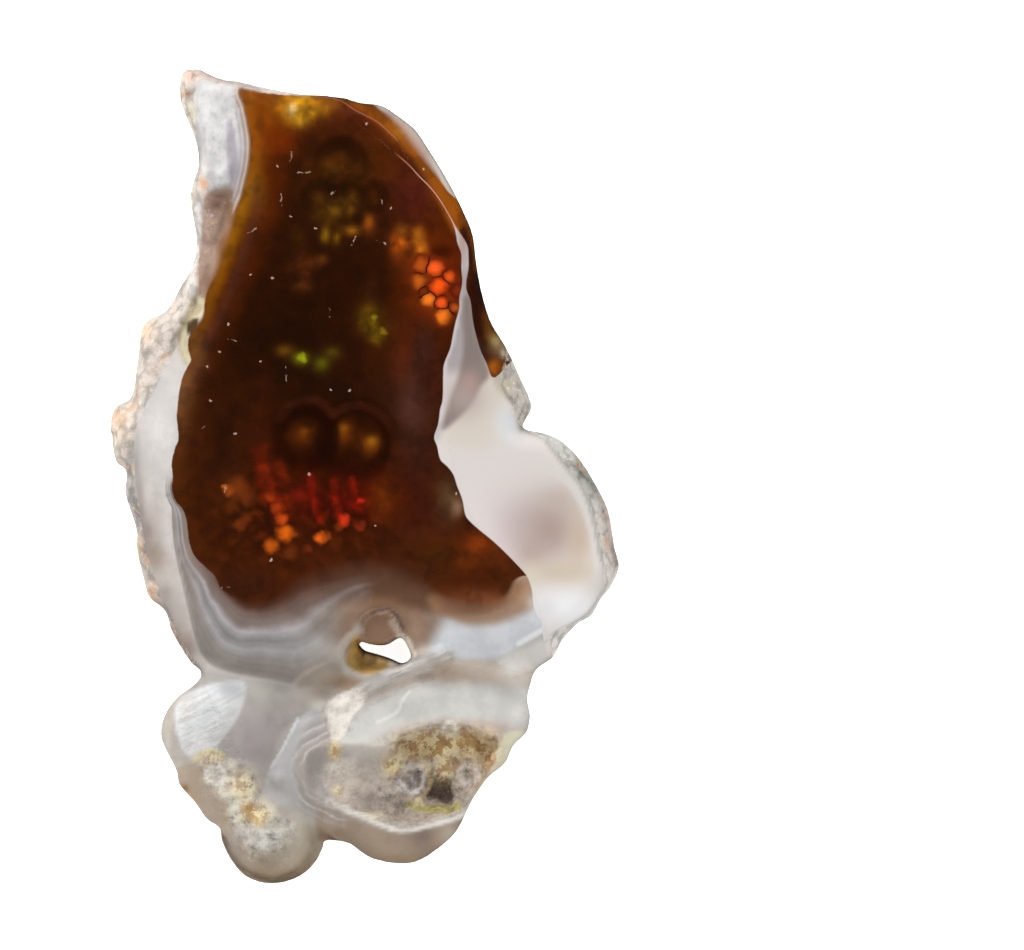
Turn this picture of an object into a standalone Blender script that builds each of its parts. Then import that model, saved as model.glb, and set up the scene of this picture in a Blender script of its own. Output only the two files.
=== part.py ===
"""A fire agate specimen: one natural piece of chalcedony with a cut and polished front.

It lies on its back. X runs across it, Y along it and Z out of its polished face, in metres, with
the origin under its middle. Its front is a shallow dome with a bevel on each side, and below that
hang botryoidal lobes with a broken pocket. A small hole goes through where they meet. Its back
is lumpy and ground flat in the middle, which is the face that it rests on.
"""

import math

import bpy
import numpy as np
from mathutils import Vector, noise

MM = 0.001

# Driving sizes, in millimetres
LENGTH = 60.0
THICKNESS = 15.0
GRID = 0.34
TRIANGLES = 9600
LEAST_WALL = 2.0
RIM_RADIUS = 1.7
RIM_DROP = 2.2
HOLE_RIM = 0.6
HOLE_RIM_DROP = 0.8

# The noise that roughens it: octaves, how far a bubble reaches towards the next one, and the
# levels at which the pocket and the back cut through it
NOISE_OCTAVES = 3
BUBBLE_REACH = 0.9
POCKET_LEVEL = 2.0
BACK_LEVEL = 7.0

# The polished face: a dome of two radii around its highest point, with a rounded shoulder on
# the left and at the foot, and on the right a bevel that is steep at the top
FACE_CREST = (2.0, 6.0)
FACE_RADII = (75.0, 170.0)
SHOULDER_WIDTH = 3.8
SHOULDER_DROP = 2.3
FOOT_START = -8.5
FOOT_CURVE = 0.05
STEEP_BEVEL = 1.25
FLAT_BEVEL = 0.58
STEEP_ABOVE = 24.0
FLAT_BELOW = 6.0

# The rough rind outside the polish, left and right: its step, slope, lumps and their size
LEFT_RIND = (0.5, 0.5, 0.9, 1.9)
RIGHT_RIND = (0.45, 0.4, 0.35, 2.4)
RIND_EDGE = 0.35
RIND_LUMP_START = 0.8
RIND_GRAIN = 0.5

# The lobes below, each as centre, half widths, height of its foot and height of its top
LOBES = [
    ((-10.2, -17.6), (6.2, 6.4), 5.0, 12.0),
    ((-10.4, -22.6), (4.3, 4.3), 5.0, 10.5),
    ((-6.9, -25.7), (4.1, 4.5), 3.8, 9.9),
    ((-4.4, -18.4), (5.0, 8.0), 4.5, 11.0),
    ((3.9, -20.0), (10.6, 10.0), 4.6, 12.7),
]
LOBE_FLOOR = 7.2
LOBE_SKIRT = 3.0
LOBE_BLEND = 0.8
VALLEY_SLOPE = 0.7
VALLEY_CURVE = 0.3
CRUST_CENTRE = (-8.6, -23.4)
CRUST_HALF = (3.4, 2.8)
CRUST_RISE = 0.45
PATCH_EDGE = (1.1, 0.6)

# The broken pocket in the largest lobe, with a raised lip, layers outside it and two cells in it
POCKET_DEPTHS = (0.7, 2.3)
POCKET_DEEPENS = (-3.0, 3.0)
POCKET_WALL = 1.1
CRUMBLE_SIZE = 1.5
CRUMBLE_RELIEF = 0.6
LIP_RISE = 0.4
LIP_WIDTH = 0.6
LAYER_STEP = 0.85
LAYER_COUNT = 3
LAYER_RELIEF = 0.4
LAYERS_FADE = (-1.0, -3.0)
CELLS = [((5.4, -23.1), 1.25, 1.5), ((3.5, -22.2), 0.85, 0.9), ((4.5, -19.8), 0.8, 0.8)]

# Hollows around the hole, each as centre, half widths and depth
HOLLOWS = [
    ((1.3, -11.2), (1.9, 1.6), 1.2),
    ((-0.5, -13.1), (1.5, 1.3), 1.8),
    ((1.4, -13.3), (2.2, 1.0), 1.6),
]
LEDGE_RISE = 0.7
LEDGE_WIDTHS = (0.9, 0.2)

# The back: lumps that fall away to the rim, ground off level with the resting plane
BACK_RISE = 2.2
BACK_WIDTH = 8.0
BACK_RIM = 3.4
BACK_RIM_RADIUS = 3.8
BACK_LUMP = 2.0
BACK_LUMP_SIZE = 5.2
BACK_GRAIN = 0.25
BACK_GRAIN_SIZE = 2.4
GROUND_OFF = 0.75
LEVEL_WITHIN = 0.05
BACK_DRAWN_IN = 0.05

# Lumps of the sides, and the passes that even out the rims
SIDE_LUMP = 0.7
SIDE_LUMP_SIZE = 3.2
SIDE_GRAIN = 0.4
SIDE_GRAIN_SIZE = 1.8
SIDE_SHARE = 0.35
SIDE_START = 1.5
SIDE_LEVELS = (0.95, 0.6)
HOLE_CLEAR = 1.5
SMOOTH_PASSES = 4
SOFT_RIM = (1.2, 0.4)

# Outlines read by eye off the photograph, in its pixels, x to the right and y down
PHOTO_LENGTH = 815.0
PHOTO_CENTRE = (364.5, 476.5)
SILHOUETTE = [
    (180, 77), (186, 70), (198, 69), (210, 75), (222, 80), (242, 83), (262, 88), (300, 95),
    (340, 98), (358, 103), (381, 106), (396, 115), (415, 130), (428, 149), (443, 173),
    (457, 199), (472, 233), (476, 262), (481, 290), (490, 321), (502, 341), (512, 360),
    (520, 378), (530, 400), (531, 410), (521, 428), (540, 432), (560, 440), (578, 457),
    (593, 480), (608, 510), (614, 545), (619, 567), (611, 586), (600, 600), (591, 616),
    (578, 623), (562, 640), (553, 657), (536, 669), (530, 685), (527, 700), (530, 716),
    (526, 733), (513, 745), (505, 763), (488, 777), (472, 800), (457, 830), (441, 846),
    (420, 860), (400, 864), (370, 858), (350, 844), (336, 841), (323, 841), (318, 858),
    (300, 876), (272, 884), (246, 877), (229, 858), (220, 837), (220, 828), (206, 819),
    (195, 803), (178, 784), (176, 771), (163, 745), (160, 730), (166, 711), (178, 696),
    (192, 686), (202, 673), (189, 661), (171, 631), (165, 611), (149, 598), (144, 583),
    (136, 548), (136, 530), (125, 495), (126, 478), (124, 467), (115, 461), (110, 423),
    (117, 405), (131, 397), (137, 360), (141, 330), (148, 320), (166, 311), (180, 287),
    (192, 266), (196, 240), (190, 195), (198, 166), (195, 140), (181, 105), (179, 90),
]
HOLE_CENTRE = (385, 650)
HOLE = [
    (354, 638), (370, 641), (386, 641), (400, 635), (408, 643), (412, 658), (400, 665),
    (384, 660), (362, 656),
]
RIDGE = [
    (280, 60), (318, 92), (345, 103), (375, 123), (405, 155), (440, 203), (457, 245),
    (461, 290), (455, 335), (449, 385), (448, 435), (456, 480), (470, 515), (492, 543),
    (515, 566), (532, 592), (542, 620), (556, 660), (562, 700),
]
POLISH_EDGE = [
    (204, 60), (197, 95), (197, 130), (202, 170), (213, 192), (234, 200), (226, 235),
    (214, 270), (203, 300), (190, 325), (178, 350), (160, 385), (145, 413), (137, 440),
    (137, 480), (142, 510), (147, 545), (158, 580), (166, 605), (180, 635), (200, 668),
    (216, 700),
]
FACET_EDGE = [
    (452, 60), (470, 200), (486, 290), (505, 345), (498, 380), (507, 405), (520, 428),
    (545, 442), (563, 466), (582, 490), (592, 520), (600, 560), (600, 592), (580, 618),
    (548, 636), (560, 680),
]
VALLEY = [
    (120, 668), (203, 672), (240, 679), (300, 688), (345, 692), (385, 668), (418, 652),
    (455, 660), (500, 668), (536, 672), (640, 668),
]
LEDGE = [(338, 704), (352, 690), (376, 676), (404, 664), (440, 655)]
POCKET = [
    (312, 748), (345, 742), (385, 745), (402, 732), (440, 722), (474, 727), (498, 742),
    (490, 766), (477, 790), (465, 808), (438, 818), (404, 824), (368, 815), (334, 803),
    (310, 790), (304, 766),
]
STONE_COLOUR = (0.32, 0.25, 0.21, 1.0)


def place(pixel):
    """Turn a pixel of the photograph into millimetres."""
    scale = LENGTH / PHOTO_LENGTH
    return ((pixel[0] - PHOTO_CENTRE[0]) * scale, (PHOTO_CENTRE[1] - pixel[1]) * scale)


def smooth_line(pixels, closed, steps=4):
    """Draw a Catmull-Rom curve through the points and return it in millimetres."""
    corners = np.array([place(pixel) for pixel in pixels])
    count = len(corners)
    spans = count if closed else count - 1
    points = []
    for span in range(spans):
        around = [span - 1, span, span + 1, span + 2]
        if closed:
            around = [index % count for index in around]
        else:
            around = [min(max(index, 0), count - 1) for index in around]
        before, start, end, after = corners[around]
        for step in range(steps):
            t = step / steps
            bend = (end - before) * t
            bend += (2 * before - 5 * start + 4 * end - after) * t ** 2
            bend += (3 * start - before - 3 * end + after) * t ** 3
            points.append(start + 0.5 * bend)
    if not closed:
        points.append(corners[-1])
    return np.array(points)


def line_distance(x, y, line, closed):
    """Distance to a line, positive on its left side as it runs."""
    nearest = np.full(x.shape, np.inf)
    signed = np.zeros(x.shape)
    ends = np.roll(line, -1, axis=0) if closed else line[1:]
    for start, end in zip(line, ends):
        run = end - start
        along = ((x - start[0]) * run[0] + (y - start[1]) * run[1]) / (run @ run)
        along = np.clip(along, 0.0, 1.0)
        off_x = x - start[0] - along * run[0]
        off_y = y - start[1] - along * run[1]
        distance = np.hypot(off_x, off_y)
        side = np.sign(run[0] * off_y - run[1] * off_x)
        closer = distance < nearest - 1e-9
        signed = np.where(closer, distance * side, signed)
        nearest = np.minimum(nearest, distance)
    return signed


def smooth_step(low, high, value):
    """Rise smoothly from 0 at low to 1 at high."""
    t = np.clip((value - low) / (high - low), 0.0, 1.0)
    return t * t * (3.0 - 2.0 * t)


def smooth_max(first, second, blend):
    """Take the higher of two surfaces with a rounded valley between them."""
    gap = np.clip(1.0 - np.abs(first - second) / blend, 0.0, 1.0)
    return np.maximum(first, second) + blend * gap ** 2 / 4.0


def rounded(distance, radius, drop):
    """How far a rim with an elliptical section has dropped at this distance from the edge."""
    t = np.clip(1.0 - distance / radius, 0.0, 1.0)
    return drop * (1.0 - np.sqrt(1.0 - t * t))


def rough(x, y, z, size):
    """Fractal noise of about -1 to 1, with grains of the given size; z may be one level for all."""
    z = np.broadcast_to(z, x.shape)
    return np.array([
        noise.fractal(Vector(point) / size, 1.0, 2.0, NOISE_OCTAVES)
        for point in zip(x, y, z)
    ])


def bubbles(x, y, z, size):
    """Rounded botryoidal lumps of 0 to 1, packed at the given size; z may be one level for all."""
    heights = []
    for point in zip(x, y, np.broadcast_to(z, x.shape)):
        nearest = noise.voronoi(Vector(point) / size)[0][0]
        heights.append(math.sqrt(max(0.0, 1.0 - (nearest / BUBBLE_REACH) ** 2)))
    return np.array(heights)


def ellipse_radius(x, y, centre, half):
    """Distance from the centre of an ellipse, with 1 on its edge."""
    return np.hypot((x - centre[0]) / half[0], (y - centre[1]) / half[1])


def main_face(x, y):
    """The domed polished face with its shoulder, its bevel and the rough rind outside them."""
    z = THICKNESS - (x - FACE_CREST[0]) ** 2 / (2.0 * FACE_RADII[0])
    z -= (y - FACE_CREST[1]) ** 2 / (2.0 * FACE_RADII[1])
    z -= FOOT_CURVE * np.clip(FOOT_START - y, 0.0, None) ** 2
    inside = line_distance(x, y, smooth_line(POLISH_EDGE, False), False)
    z -= SHOULDER_DROP * np.clip(1.0 - inside / SHOULDER_WIDTH, 0.0, 1.0) ** 2
    beyond = np.clip(x - ridge_across(y), 0.0, None)
    steep = smooth_step(FLAT_BELOW, STEEP_ABOVE, y)
    z -= beyond * (FLAT_BEVEL + (STEEP_BEVEL - FLAT_BEVEL) * steep)
    z += rind(x, y, -inside, LEFT_RIND)
    return z + rind(x, y, line_distance(x, y, smooth_line(FACET_EDGE, False), False), RIGHT_RIND)


def ridge_across(y):
    """Where the ridge between the face and its right bevel crosses each height of the face."""
    ridge_x, ridge_y = smooth_line(RIDGE, False)[::-1].T
    return np.interp(y, ridge_y, ridge_x)


def rind(x, y, outside, form):
    """How much higher the rough rind is than the polish, at a distance outside its edge."""
    step, slope, lump, size = form
    outside = np.clip(outside, 0.0, None)
    drop = step * smooth_step(0.0, RIND_EDGE, outside) + slope * outside
    lumps = bubbles(x, y, 0.0, size) + RIND_GRAIN * rough(x, y, 1.0, size)
    return lump * smooth_step(0.0, RIND_LUMP_START, outside) * lumps - drop


def lobes(x, y):
    """The rounded lobes below the main face, with a crust over two of them."""
    z = np.full(x.shape, LOBE_FLOOR)
    for centre, half, foot, top in LOBES:
        radius = ellipse_radius(x, y, centre, half)
        cap = foot + (top - foot) * np.sqrt(np.clip(1.0 - radius ** 2, 0.0, None))
        z = smooth_max(z, cap - LOBE_SKIRT * np.clip(radius - 1.0, 0.0, None), LOBE_BLEND)
    crust = smooth_step(*PATCH_EDGE, ellipse_radius(x, y, CRUST_CENTRE, CRUST_HALF))
    return z + CRUST_RISE * crust * (1.0 + rough(x, y, 0.0, CRUMBLE_SIZE))


def pocket_relief(x, y):
    """The broken pocket: its floor and cells, its lip and the layers broken off outside it."""
    inside = -line_distance(x, y, smooth_line(POCKET, True), True)
    crumble = rough(x, y, POCKET_LEVEL, CRUMBLE_SIZE)
    shallow, deep = POCKET_DEPTHS
    depth = shallow + (deep - shallow) * smooth_step(*POCKET_DEEPENS, x)
    relief = -smooth_step(0.0, POCKET_WALL, inside) * (depth - CRUMBLE_RELIEF * crumble)
    for centre, radius, depth in CELLS:
        relief -= depth * smooth_step(*PATCH_EDGE, ellipse_radius(x, y, centre, (radius, radius)))
    relief += LIP_RISE * smooth_step(LIP_WIDTH, 0.0, np.abs(inside))
    outside = -inside / LAYER_STEP
    layered = (outside > 0.0) * (outside < LAYER_COUNT) * smooth_step(*LAYERS_FADE, x)
    return relief - LAYER_RELIEF * layered * (outside % 1.0)


def hole_relief(x, y, hole):
    """The hollows that lead into the hole, and the ledge that runs past it."""
    relief = -rounded(hole, HOLE_RIM, HOLE_RIM_DROP)
    for centre, half, depth in HOLLOWS:
        relief -= depth * smooth_step(*PATCH_EDGE, ellipse_radius(x, y, centre, half))
    ledge = np.abs(line_distance(x, y, smooth_line(LEDGE, False), False))
    return relief + LEDGE_RISE * smooth_step(*LEDGE_WIDTHS, ledge)


def front_height(x, y, edge, hole):
    """Height of the front over each point, in millimetres."""
    below = np.clip(-line_distance(x, y, smooth_line(VALLEY, False), False), 0.0, None)
    main = main_face(x, y) - VALLEY_SLOPE * below - VALLEY_CURVE * below ** 2
    z = smooth_max(main, lobes(x, y), LOBE_BLEND)
    z += pocket_relief(x, y) + hole_relief(x, y, hole)
    return z - rounded(edge, RIM_RADIUS, RIM_DROP)


def back_height(x, y, edge, hole):
    """Height of the back over each point, zero where it is ground flat."""
    z = BACK_RISE * np.clip(1.0 - edge / BACK_WIDTH, 0.0, 1.0) ** 2 - GROUND_OFF
    z += BACK_LUMP * (1.0 - bubbles(x, y, BACK_LEVEL, BACK_LUMP_SIZE))
    z += BACK_GRAIN * rough(x, y, BACK_LEVEL, BACK_GRAIN_SIZE)
    z += rounded(edge, BACK_RIM_RADIUS, BACK_RIM) + rounded(hole, HOLE_RIM, HOLE_RIM_DROP)
    return np.maximum(z, 0.0)


def as_mesh(source):
    """Replace an object by a plain mesh object of its evaluated shape."""
    evaluated = source.evaluated_get(bpy.context.evaluated_depsgraph_get())
    shape = bpy.data.meshes.new_from_object(evaluated)
    result = bpy.data.objects.new(source.name, shape)
    bpy.context.scene.collection.objects.link(result)
    bpy.data.objects.remove(source)
    bpy.context.view_layer.update()
    return result


def slab():
    """A plain slab of the silhouette with the hole through it, remeshed to an even grid."""
    curve = bpy.data.curves.new("slab", "CURVE")
    curve.dimensions = "2D"
    curve.fill_mode = "BOTH"
    curve.extrude = THICKNESS * MM / 2.0
    for outline in (SILHOUETTE, HOLE):
        points = smooth_line(outline, True) * MM
        spline = curve.splines.new("POLY")
        spline.points.add(len(points) - 1)
        for point, (x, y) in zip(spline.points, points):
            point.co = (x, y, 0.0, 1.0)
        spline.use_cyclic_u = True
    outlined = bpy.data.objects.new("slab", curve)
    bpy.context.scene.collection.objects.link(outlined)
    solid = as_mesh(outlined)
    remesh = solid.modifiers.new("even grid", "REMESH")
    remesh.mode = "VOXEL"
    remesh.voxel_size = GRID * MM
    return as_mesh(solid)


def read_points(stone, kind):
    """The stone's points, or the normals at them, as rows of three numbers."""
    values = np.empty(len(stone.data.vertices) * 3)
    stone.data.vertices.foreach_get(kind, values)
    return values.reshape(-1, 3)


def write_points(stone, points):
    """Move the stone's points to new places given in millimetres."""
    stone.data.vertices.foreach_set("co", (points * MM).ravel())
    stone.data.update()


def carve(stone):
    """Move the slab's points onto the front and the back, and mark what is to be evened out."""
    x, y, z = (read_points(stone, "co") / MM).T
    level = np.clip(z / THICKNESS + 0.5, 0.0, 1.0)
    ridge = ridge_across(y)
    x = np.where((np.abs(x - ridge) < GRID / 2.0) & (level == 1.0), ridge, x)

    edge = np.clip(-line_distance(x, y, smooth_line(SILHOUETTE, True), True), 0.0, None)
    hole = np.abs(line_distance(x, y, smooth_line(HOLE, True), True))
    back = back_height(x, y, edge, hole)
    front = np.maximum(front_height(x, y, edge, hole), back + LEAST_WALL)
    z = back + level * (front - back)

    below = line_distance(x, y, smooth_line(VALLEY, False), False) < 0.0
    pocket = np.abs(line_distance(x, y, smooth_line(POCKET, True), True)) < LIP_WIDTH
    soft = np.maximum(below * ~pocket, smooth_step(*SOFT_RIM, edge))
    soft *= smooth_step(0.0, HOLE_CLEAR, hole)
    group = stone.vertex_groups.new(name="soft")
    for index, weight in enumerate(soft):
        group.add([index], float(weight), "REPLACE")

    shrink = 1.0 - BACK_DRAWN_IN * (1.0 - level)
    hole_x, hole_y = place(HOLE_CENTRE)
    x = hole_x + (x - hole_x) * shrink
    y = hole_y + (y - hole_y) * shrink
    write_points(stone, np.column_stack((x, y, z)))
    return level


def soften(stone):
    """Even out the steep rims and the lobes, which an even grid leaves stepped."""
    smooth = stone.modifiers.new("soft rims", "SMOOTH")
    smooth.iterations = SMOOTH_PASSES
    smooth.factor = 0.5
    smooth.vertex_group = "soft"
    return as_mesh(stone)


def roughen(stone, level):
    """Push the sides and the back into rounded lumps, and leave the ground face level."""
    points = read_points(stone, "co") / MM
    normals = read_points(stone, "normal")
    x, y, z = points.T
    lumps = bubbles(x, y, z, SIDE_LUMP_SIZE) - 1.0
    lumps += SIDE_GRAIN * rough(x, y, z, SIDE_GRAIN_SIZE)
    amount = SIDE_LUMP * smooth_step(0.0, SIDE_START, z) * smooth_step(*SIDE_LEVELS, level)
    amount *= SIDE_SHARE + (1.0 - SIDE_SHARE) * np.abs(normals[:, 2])
    hole = np.abs(line_distance(x, y, smooth_line(HOLE, True), True))
    amount *= smooth_step(0.0, HOLE_CLEAR, hole)
    points += normals * (amount * lumps)[:, None]

    outline = smooth_line(SILHOUETTE, True)
    for axis in (0, 1):
        ends = (outline[:, axis].min(), outline[:, axis].max())
        reach = (points[:, axis].min(), points[:, axis].max())
        points[:, axis] = np.interp(points[:, axis], reach, ends)
    points[:, 2] = np.maximum(points[:, 2], 0.0)
    write_points(stone, points)


def thin_out(stone):
    """Merge the small faces where the surface is even, and keep the ground face level."""
    faces = sum(len(face.vertices) - 2 for face in stone.data.polygons)
    decimate = stone.modifiers.new("fewer faces", "DECIMATE")
    decimate.ratio = TRIANGLES / faces
    decimate.use_collapse_triangulate = True
    stone = as_mesh(stone)
    points = read_points(stone, "co") / MM
    points[:, 2] = np.where(points[:, 2] < LEVEL_WITHIN, 0.0, points[:, 2])
    write_points(stone, points)
    return stone


def finish(stone):
    """Name the stone and give it its material."""
    material = bpy.data.materials.new("fire_agate")
    material.use_nodes = True
    shader = material.node_tree.nodes["Principled BSDF"]
    shader.inputs["Base Color"].default_value = STONE_COLOUR
    shader.inputs["Roughness"].default_value = 0.25
    shader.inputs["Metallic"].default_value = 0.0
    stone.data.materials.append(material)
    stone.name = "fire_agate"


def build():
    """Make the specimen in an empty scene."""
    for item in list(bpy.data.objects):
        bpy.data.objects.remove(item)
    stone = slab()
    level = carve(stone)
    stone = soften(stone)
    roughen(stone, level)
    stone = thin_out(stone)
    finish(stone)


build()
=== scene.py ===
"""The looks of the fire agate specimen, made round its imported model.

One dressed mesh stands for the plain stone. It has the same shape on a finer grid, with the grain
of the rind, the crust and the broken pocket added. Its colours come in two ways. Broad washes are
stored at its points. Borders, bands, fire cells and specks are drawn by the material, from
distances that are stored there too or are measured to places on the stone.
"""

import functools
import math

import bpy
import numpy as np
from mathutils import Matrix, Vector, noise


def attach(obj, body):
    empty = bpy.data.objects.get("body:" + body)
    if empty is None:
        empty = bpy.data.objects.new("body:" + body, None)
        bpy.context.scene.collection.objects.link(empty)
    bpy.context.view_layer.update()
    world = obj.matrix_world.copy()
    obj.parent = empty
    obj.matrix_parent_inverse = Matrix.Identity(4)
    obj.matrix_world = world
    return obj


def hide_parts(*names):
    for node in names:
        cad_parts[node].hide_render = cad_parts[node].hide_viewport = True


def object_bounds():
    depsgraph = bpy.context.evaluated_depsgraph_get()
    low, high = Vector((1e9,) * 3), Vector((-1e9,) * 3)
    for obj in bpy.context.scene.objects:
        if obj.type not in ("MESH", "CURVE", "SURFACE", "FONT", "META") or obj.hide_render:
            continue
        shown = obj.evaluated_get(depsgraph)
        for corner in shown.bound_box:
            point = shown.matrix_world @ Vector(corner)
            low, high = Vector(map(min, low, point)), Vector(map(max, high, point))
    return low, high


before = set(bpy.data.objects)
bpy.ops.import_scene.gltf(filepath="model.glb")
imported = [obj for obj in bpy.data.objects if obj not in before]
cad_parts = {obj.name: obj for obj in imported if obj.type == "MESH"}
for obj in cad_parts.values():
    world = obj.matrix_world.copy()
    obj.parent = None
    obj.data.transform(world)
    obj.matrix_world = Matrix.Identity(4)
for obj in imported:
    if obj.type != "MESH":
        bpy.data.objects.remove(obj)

CAD_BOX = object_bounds()
MM = 0.001

# Driving sizes, in millimetres: the model's own box, then the grid and the slab that are carved
LENGTH = (CAD_BOX[1][1] - CAD_BOX[0][1]) / MM
THICKNESS = (CAD_BOX[1][2] - CAD_BOX[0][2]) / MM
GRID = 0.21
SLAB = 5.0
SLAB_SKIN = 0.1
LEAST_WALL = 2.0
RIM_RADIUS = 1.7
RIM_DROP = 2.2
HOLE_RIM = 0.6
HOLE_RIM_DROP = 0.8

# The noise that roughens it: octaves, how far a bubble reaches towards the next one, and the
# levels at which the pocket and the back cut through it
NOISE_OCTAVES = 3
BUBBLE_REACH = 0.9
POCKET_LEVEL = 2.0
BACK_LEVEL = 7.0

# The polished face: a dome of two radii around its highest point, with a rounded shoulder on
# the left and at the foot, and on the right a bevel that is steep at the top
FACE_CREST = (2.0, 6.0)
FACE_RADII = (75.0, 170.0)
SHOULDER_WIDTH = 3.8
SHOULDER_DROP = 2.3
FOOT_START = -8.5
FOOT_CURVE = 0.05
STEEP_BEVEL = 1.25
FLAT_BEVEL = 0.58
STEEP_ABOVE = 24.0
FLAT_BELOW = 6.0

# The rough rind outside the polish, left and right: its step, slope, lumps and their size
LEFT_RIND = (0.5, 0.5, 0.9, 1.9)
RIGHT_RIND = (0.45, 0.4, 0.35, 2.4)
RIND_EDGE = 0.35
RIND_LUMP_START = 0.8
RIND_GRAIN = 0.5

# The lobes below, each as centre, half widths, height of its foot and height of its top
LOBES = [
    ((-10.2, -17.6), (6.2, 6.4), 5.0, 12.0),
    ((-10.4, -22.6), (4.3, 4.3), 5.0, 10.5),
    ((-6.9, -25.7), (4.1, 4.5), 3.8, 9.9),
    ((-4.4, -18.4), (5.0, 8.0), 4.5, 11.0),
    ((3.9, -20.0), (10.6, 10.0), 4.6, 12.7),
]
LOBE_FLOOR = 7.2
LOBE_SKIRT = 3.0
LOBE_BLEND = 0.8
VALLEY_SLOPE = 0.7
VALLEY_CURVE = 0.3
CRUST_CENTRE = (-8.6, -23.4)
CRUST_HALF = (3.4, 2.8)
CRUST_RISE = 0.45
PATCH_EDGE = (1.1, 0.6)

# The broken pocket in the largest lobe, with a raised lip, layers outside it and cells in it
POCKET_DEPTHS = (0.7, 2.3)
POCKET_DEEPENS = (-3.0, 3.0)
POCKET_WALL = 1.1
CRUMBLE_SIZE = 1.5
CRUMBLE_RELIEF = 0.6
LIP_RISE = 0.4
LIP_WIDTH = 0.6
LAYER_STEP = 0.85
LAYER_COUNT = 3
LAYER_RELIEF = 0.4
LAYERS_FADE = (-1.0, -3.0)
CELLS = [((5.4, -23.1), 1.25, 1.5), ((3.5, -22.2), 0.85, 0.9), ((4.5, -19.8), 0.8, 0.8)]

# Hollows around the hole, each as centre, half widths and depth
HOLLOWS = [
    ((1.3, -11.2), (1.9, 1.6), 1.2),
    ((-0.3, -13.2), (1.3, 1.2), 1.0),
    ((1.4, -13.3), (2.2, 1.0), 1.6),
]
LEDGE_RISE = 0.7
LEDGE_WIDTHS = (0.9, 0.2)

# The back: lumps that fall away to the rim, ground off level with the resting plane
BACK_RISE = 2.2
BACK_WIDTH = 8.0
BACK_RIM = 3.4
BACK_RIM_RADIUS = 3.8
BACK_LUMP = 2.0
BACK_LUMP_SIZE = 5.2
BACK_GRAIN = 0.25
BACK_GRAIN_SIZE = 2.4
GROUND_OFF = 0.75
BACK_DRAWN_IN = 0.05

# Lumps of the sides, and the passes that even out the rims
SIDE_LUMP = 0.7
SIDE_LUMP_SIZE = 3.2
SIDE_GRAIN = 0.4
SIDE_GRAIN_SIZE = 1.8
SIDE_SHARE = 0.35
SIDE_START = 1.5
SIDE_LEVELS = (0.95, 0.6)
HOLE_CLEAR = 1.5
SMOOTH_PASSES = 10
SOFT_RIM = (1.2, 0.4)

# Fine grain that the dressed mesh adds on the rind, the crust and the fibrous ledge, each as its
# height, its size and the level at which the front cuts through its noise
RIND_FINE = (0.16, 0.55, 3.0)
CRUST_FINE = (0.30, 0.65, 5.0)
FIBRE_FINE = (0.10, 0.45, 0.0)
FIBRE_STRETCH = 5.0
FIBRE_TURN = math.radians(24.0)

# Outlines read off the photograph, in its pixels, x to the right and y down
PHOTO_WIDTH = 1024.0
PHOTO_HEIGHT = 950.0
PHOTO_LENGTH = 815.0
PHOTO_CENTRE = (364.5, 476.5)
SCALE = LENGTH / PHOTO_LENGTH
SILHOUETTE = [
    (180, 77), (186, 70), (198, 69), (210, 75), (222, 80), (242, 83), (262, 88), (300, 95),
    (340, 98), (358, 103), (381, 106), (396, 115), (415, 130), (428, 149), (443, 173),
    (457, 199), (472, 233), (476, 262), (481, 290), (490, 321), (502, 341), (512, 360),
    (520, 378), (530, 400), (531, 410), (521, 428), (540, 432), (560, 440), (578, 457),
    (593, 480), (608, 510), (614, 545), (619, 567), (611, 586), (600, 600), (591, 616),
    (578, 623), (562, 640), (553, 657), (536, 669), (530, 685), (527, 700), (530, 716),
    (526, 733), (513, 745), (505, 763), (488, 777), (472, 800), (457, 830), (441, 846),
    (420, 860), (400, 864), (370, 858), (350, 844), (336, 841), (323, 841), (318, 858),
    (300, 876), (272, 884), (246, 877), (229, 858), (220, 837), (220, 828), (206, 819),
    (195, 803), (178, 784), (176, 771), (163, 745), (160, 730), (166, 711), (178, 696),
    (192, 686), (202, 673), (189, 661), (171, 631), (165, 611), (149, 598), (144, 583),
    (136, 548), (136, 530), (125, 495), (126, 478), (124, 467), (115, 461), (110, 423),
    (117, 405), (131, 397), (137, 360), (141, 330), (148, 320), (166, 311), (180, 287),
    (192, 266), (196, 240), (190, 195), (198, 166), (195, 140), (181, 105), (179, 90),
]
HOLE_CENTRE = (385, 650)
HOLE = [
    (357, 640), (367, 643), (378, 645), (388, 644), (400, 637), (406, 643), (411, 657),
    (402, 664), (392, 660), (384, 657), (374, 654), (362, 650),
]
RIDGE = [
    (280, 60), (318, 92), (345, 103), (375, 123), (405, 155), (440, 203), (457, 245),
    (461, 290), (455, 335), (449, 385), (448, 435), (456, 480), (470, 515), (492, 543),
    (515, 566), (532, 592), (542, 620), (556, 660), (562, 700),
]
POLISH_EDGE = [
    (204, 60), (197, 95), (197, 130), (202, 170), (213, 192), (234, 200), (226, 235),
    (214, 270), (203, 300), (190, 325), (178, 350), (160, 385), (145, 413), (137, 440),
    (137, 480), (142, 510), (147, 545), (158, 580), (166, 605), (180, 635), (200, 668),
    (216, 700),
]
FACET_EDGE = [
    (452, 60), (470, 200), (486, 290), (505, 345), (498, 380), (507, 405), (520, 428),
    (545, 442), (563, 466), (582, 490), (592, 520), (600, 560), (600, 592), (580, 618),
    (548, 636), (560, 680),
]
VALLEY = [
    (120, 668), (203, 672), (240, 679), (300, 688), (345, 692), (385, 668), (418, 652),
    (455, 660), (500, 668), (536, 672), (640, 668),
]
LEDGE = [(338, 704), (352, 690), (376, 676), (404, 664), (440, 655)]
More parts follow.
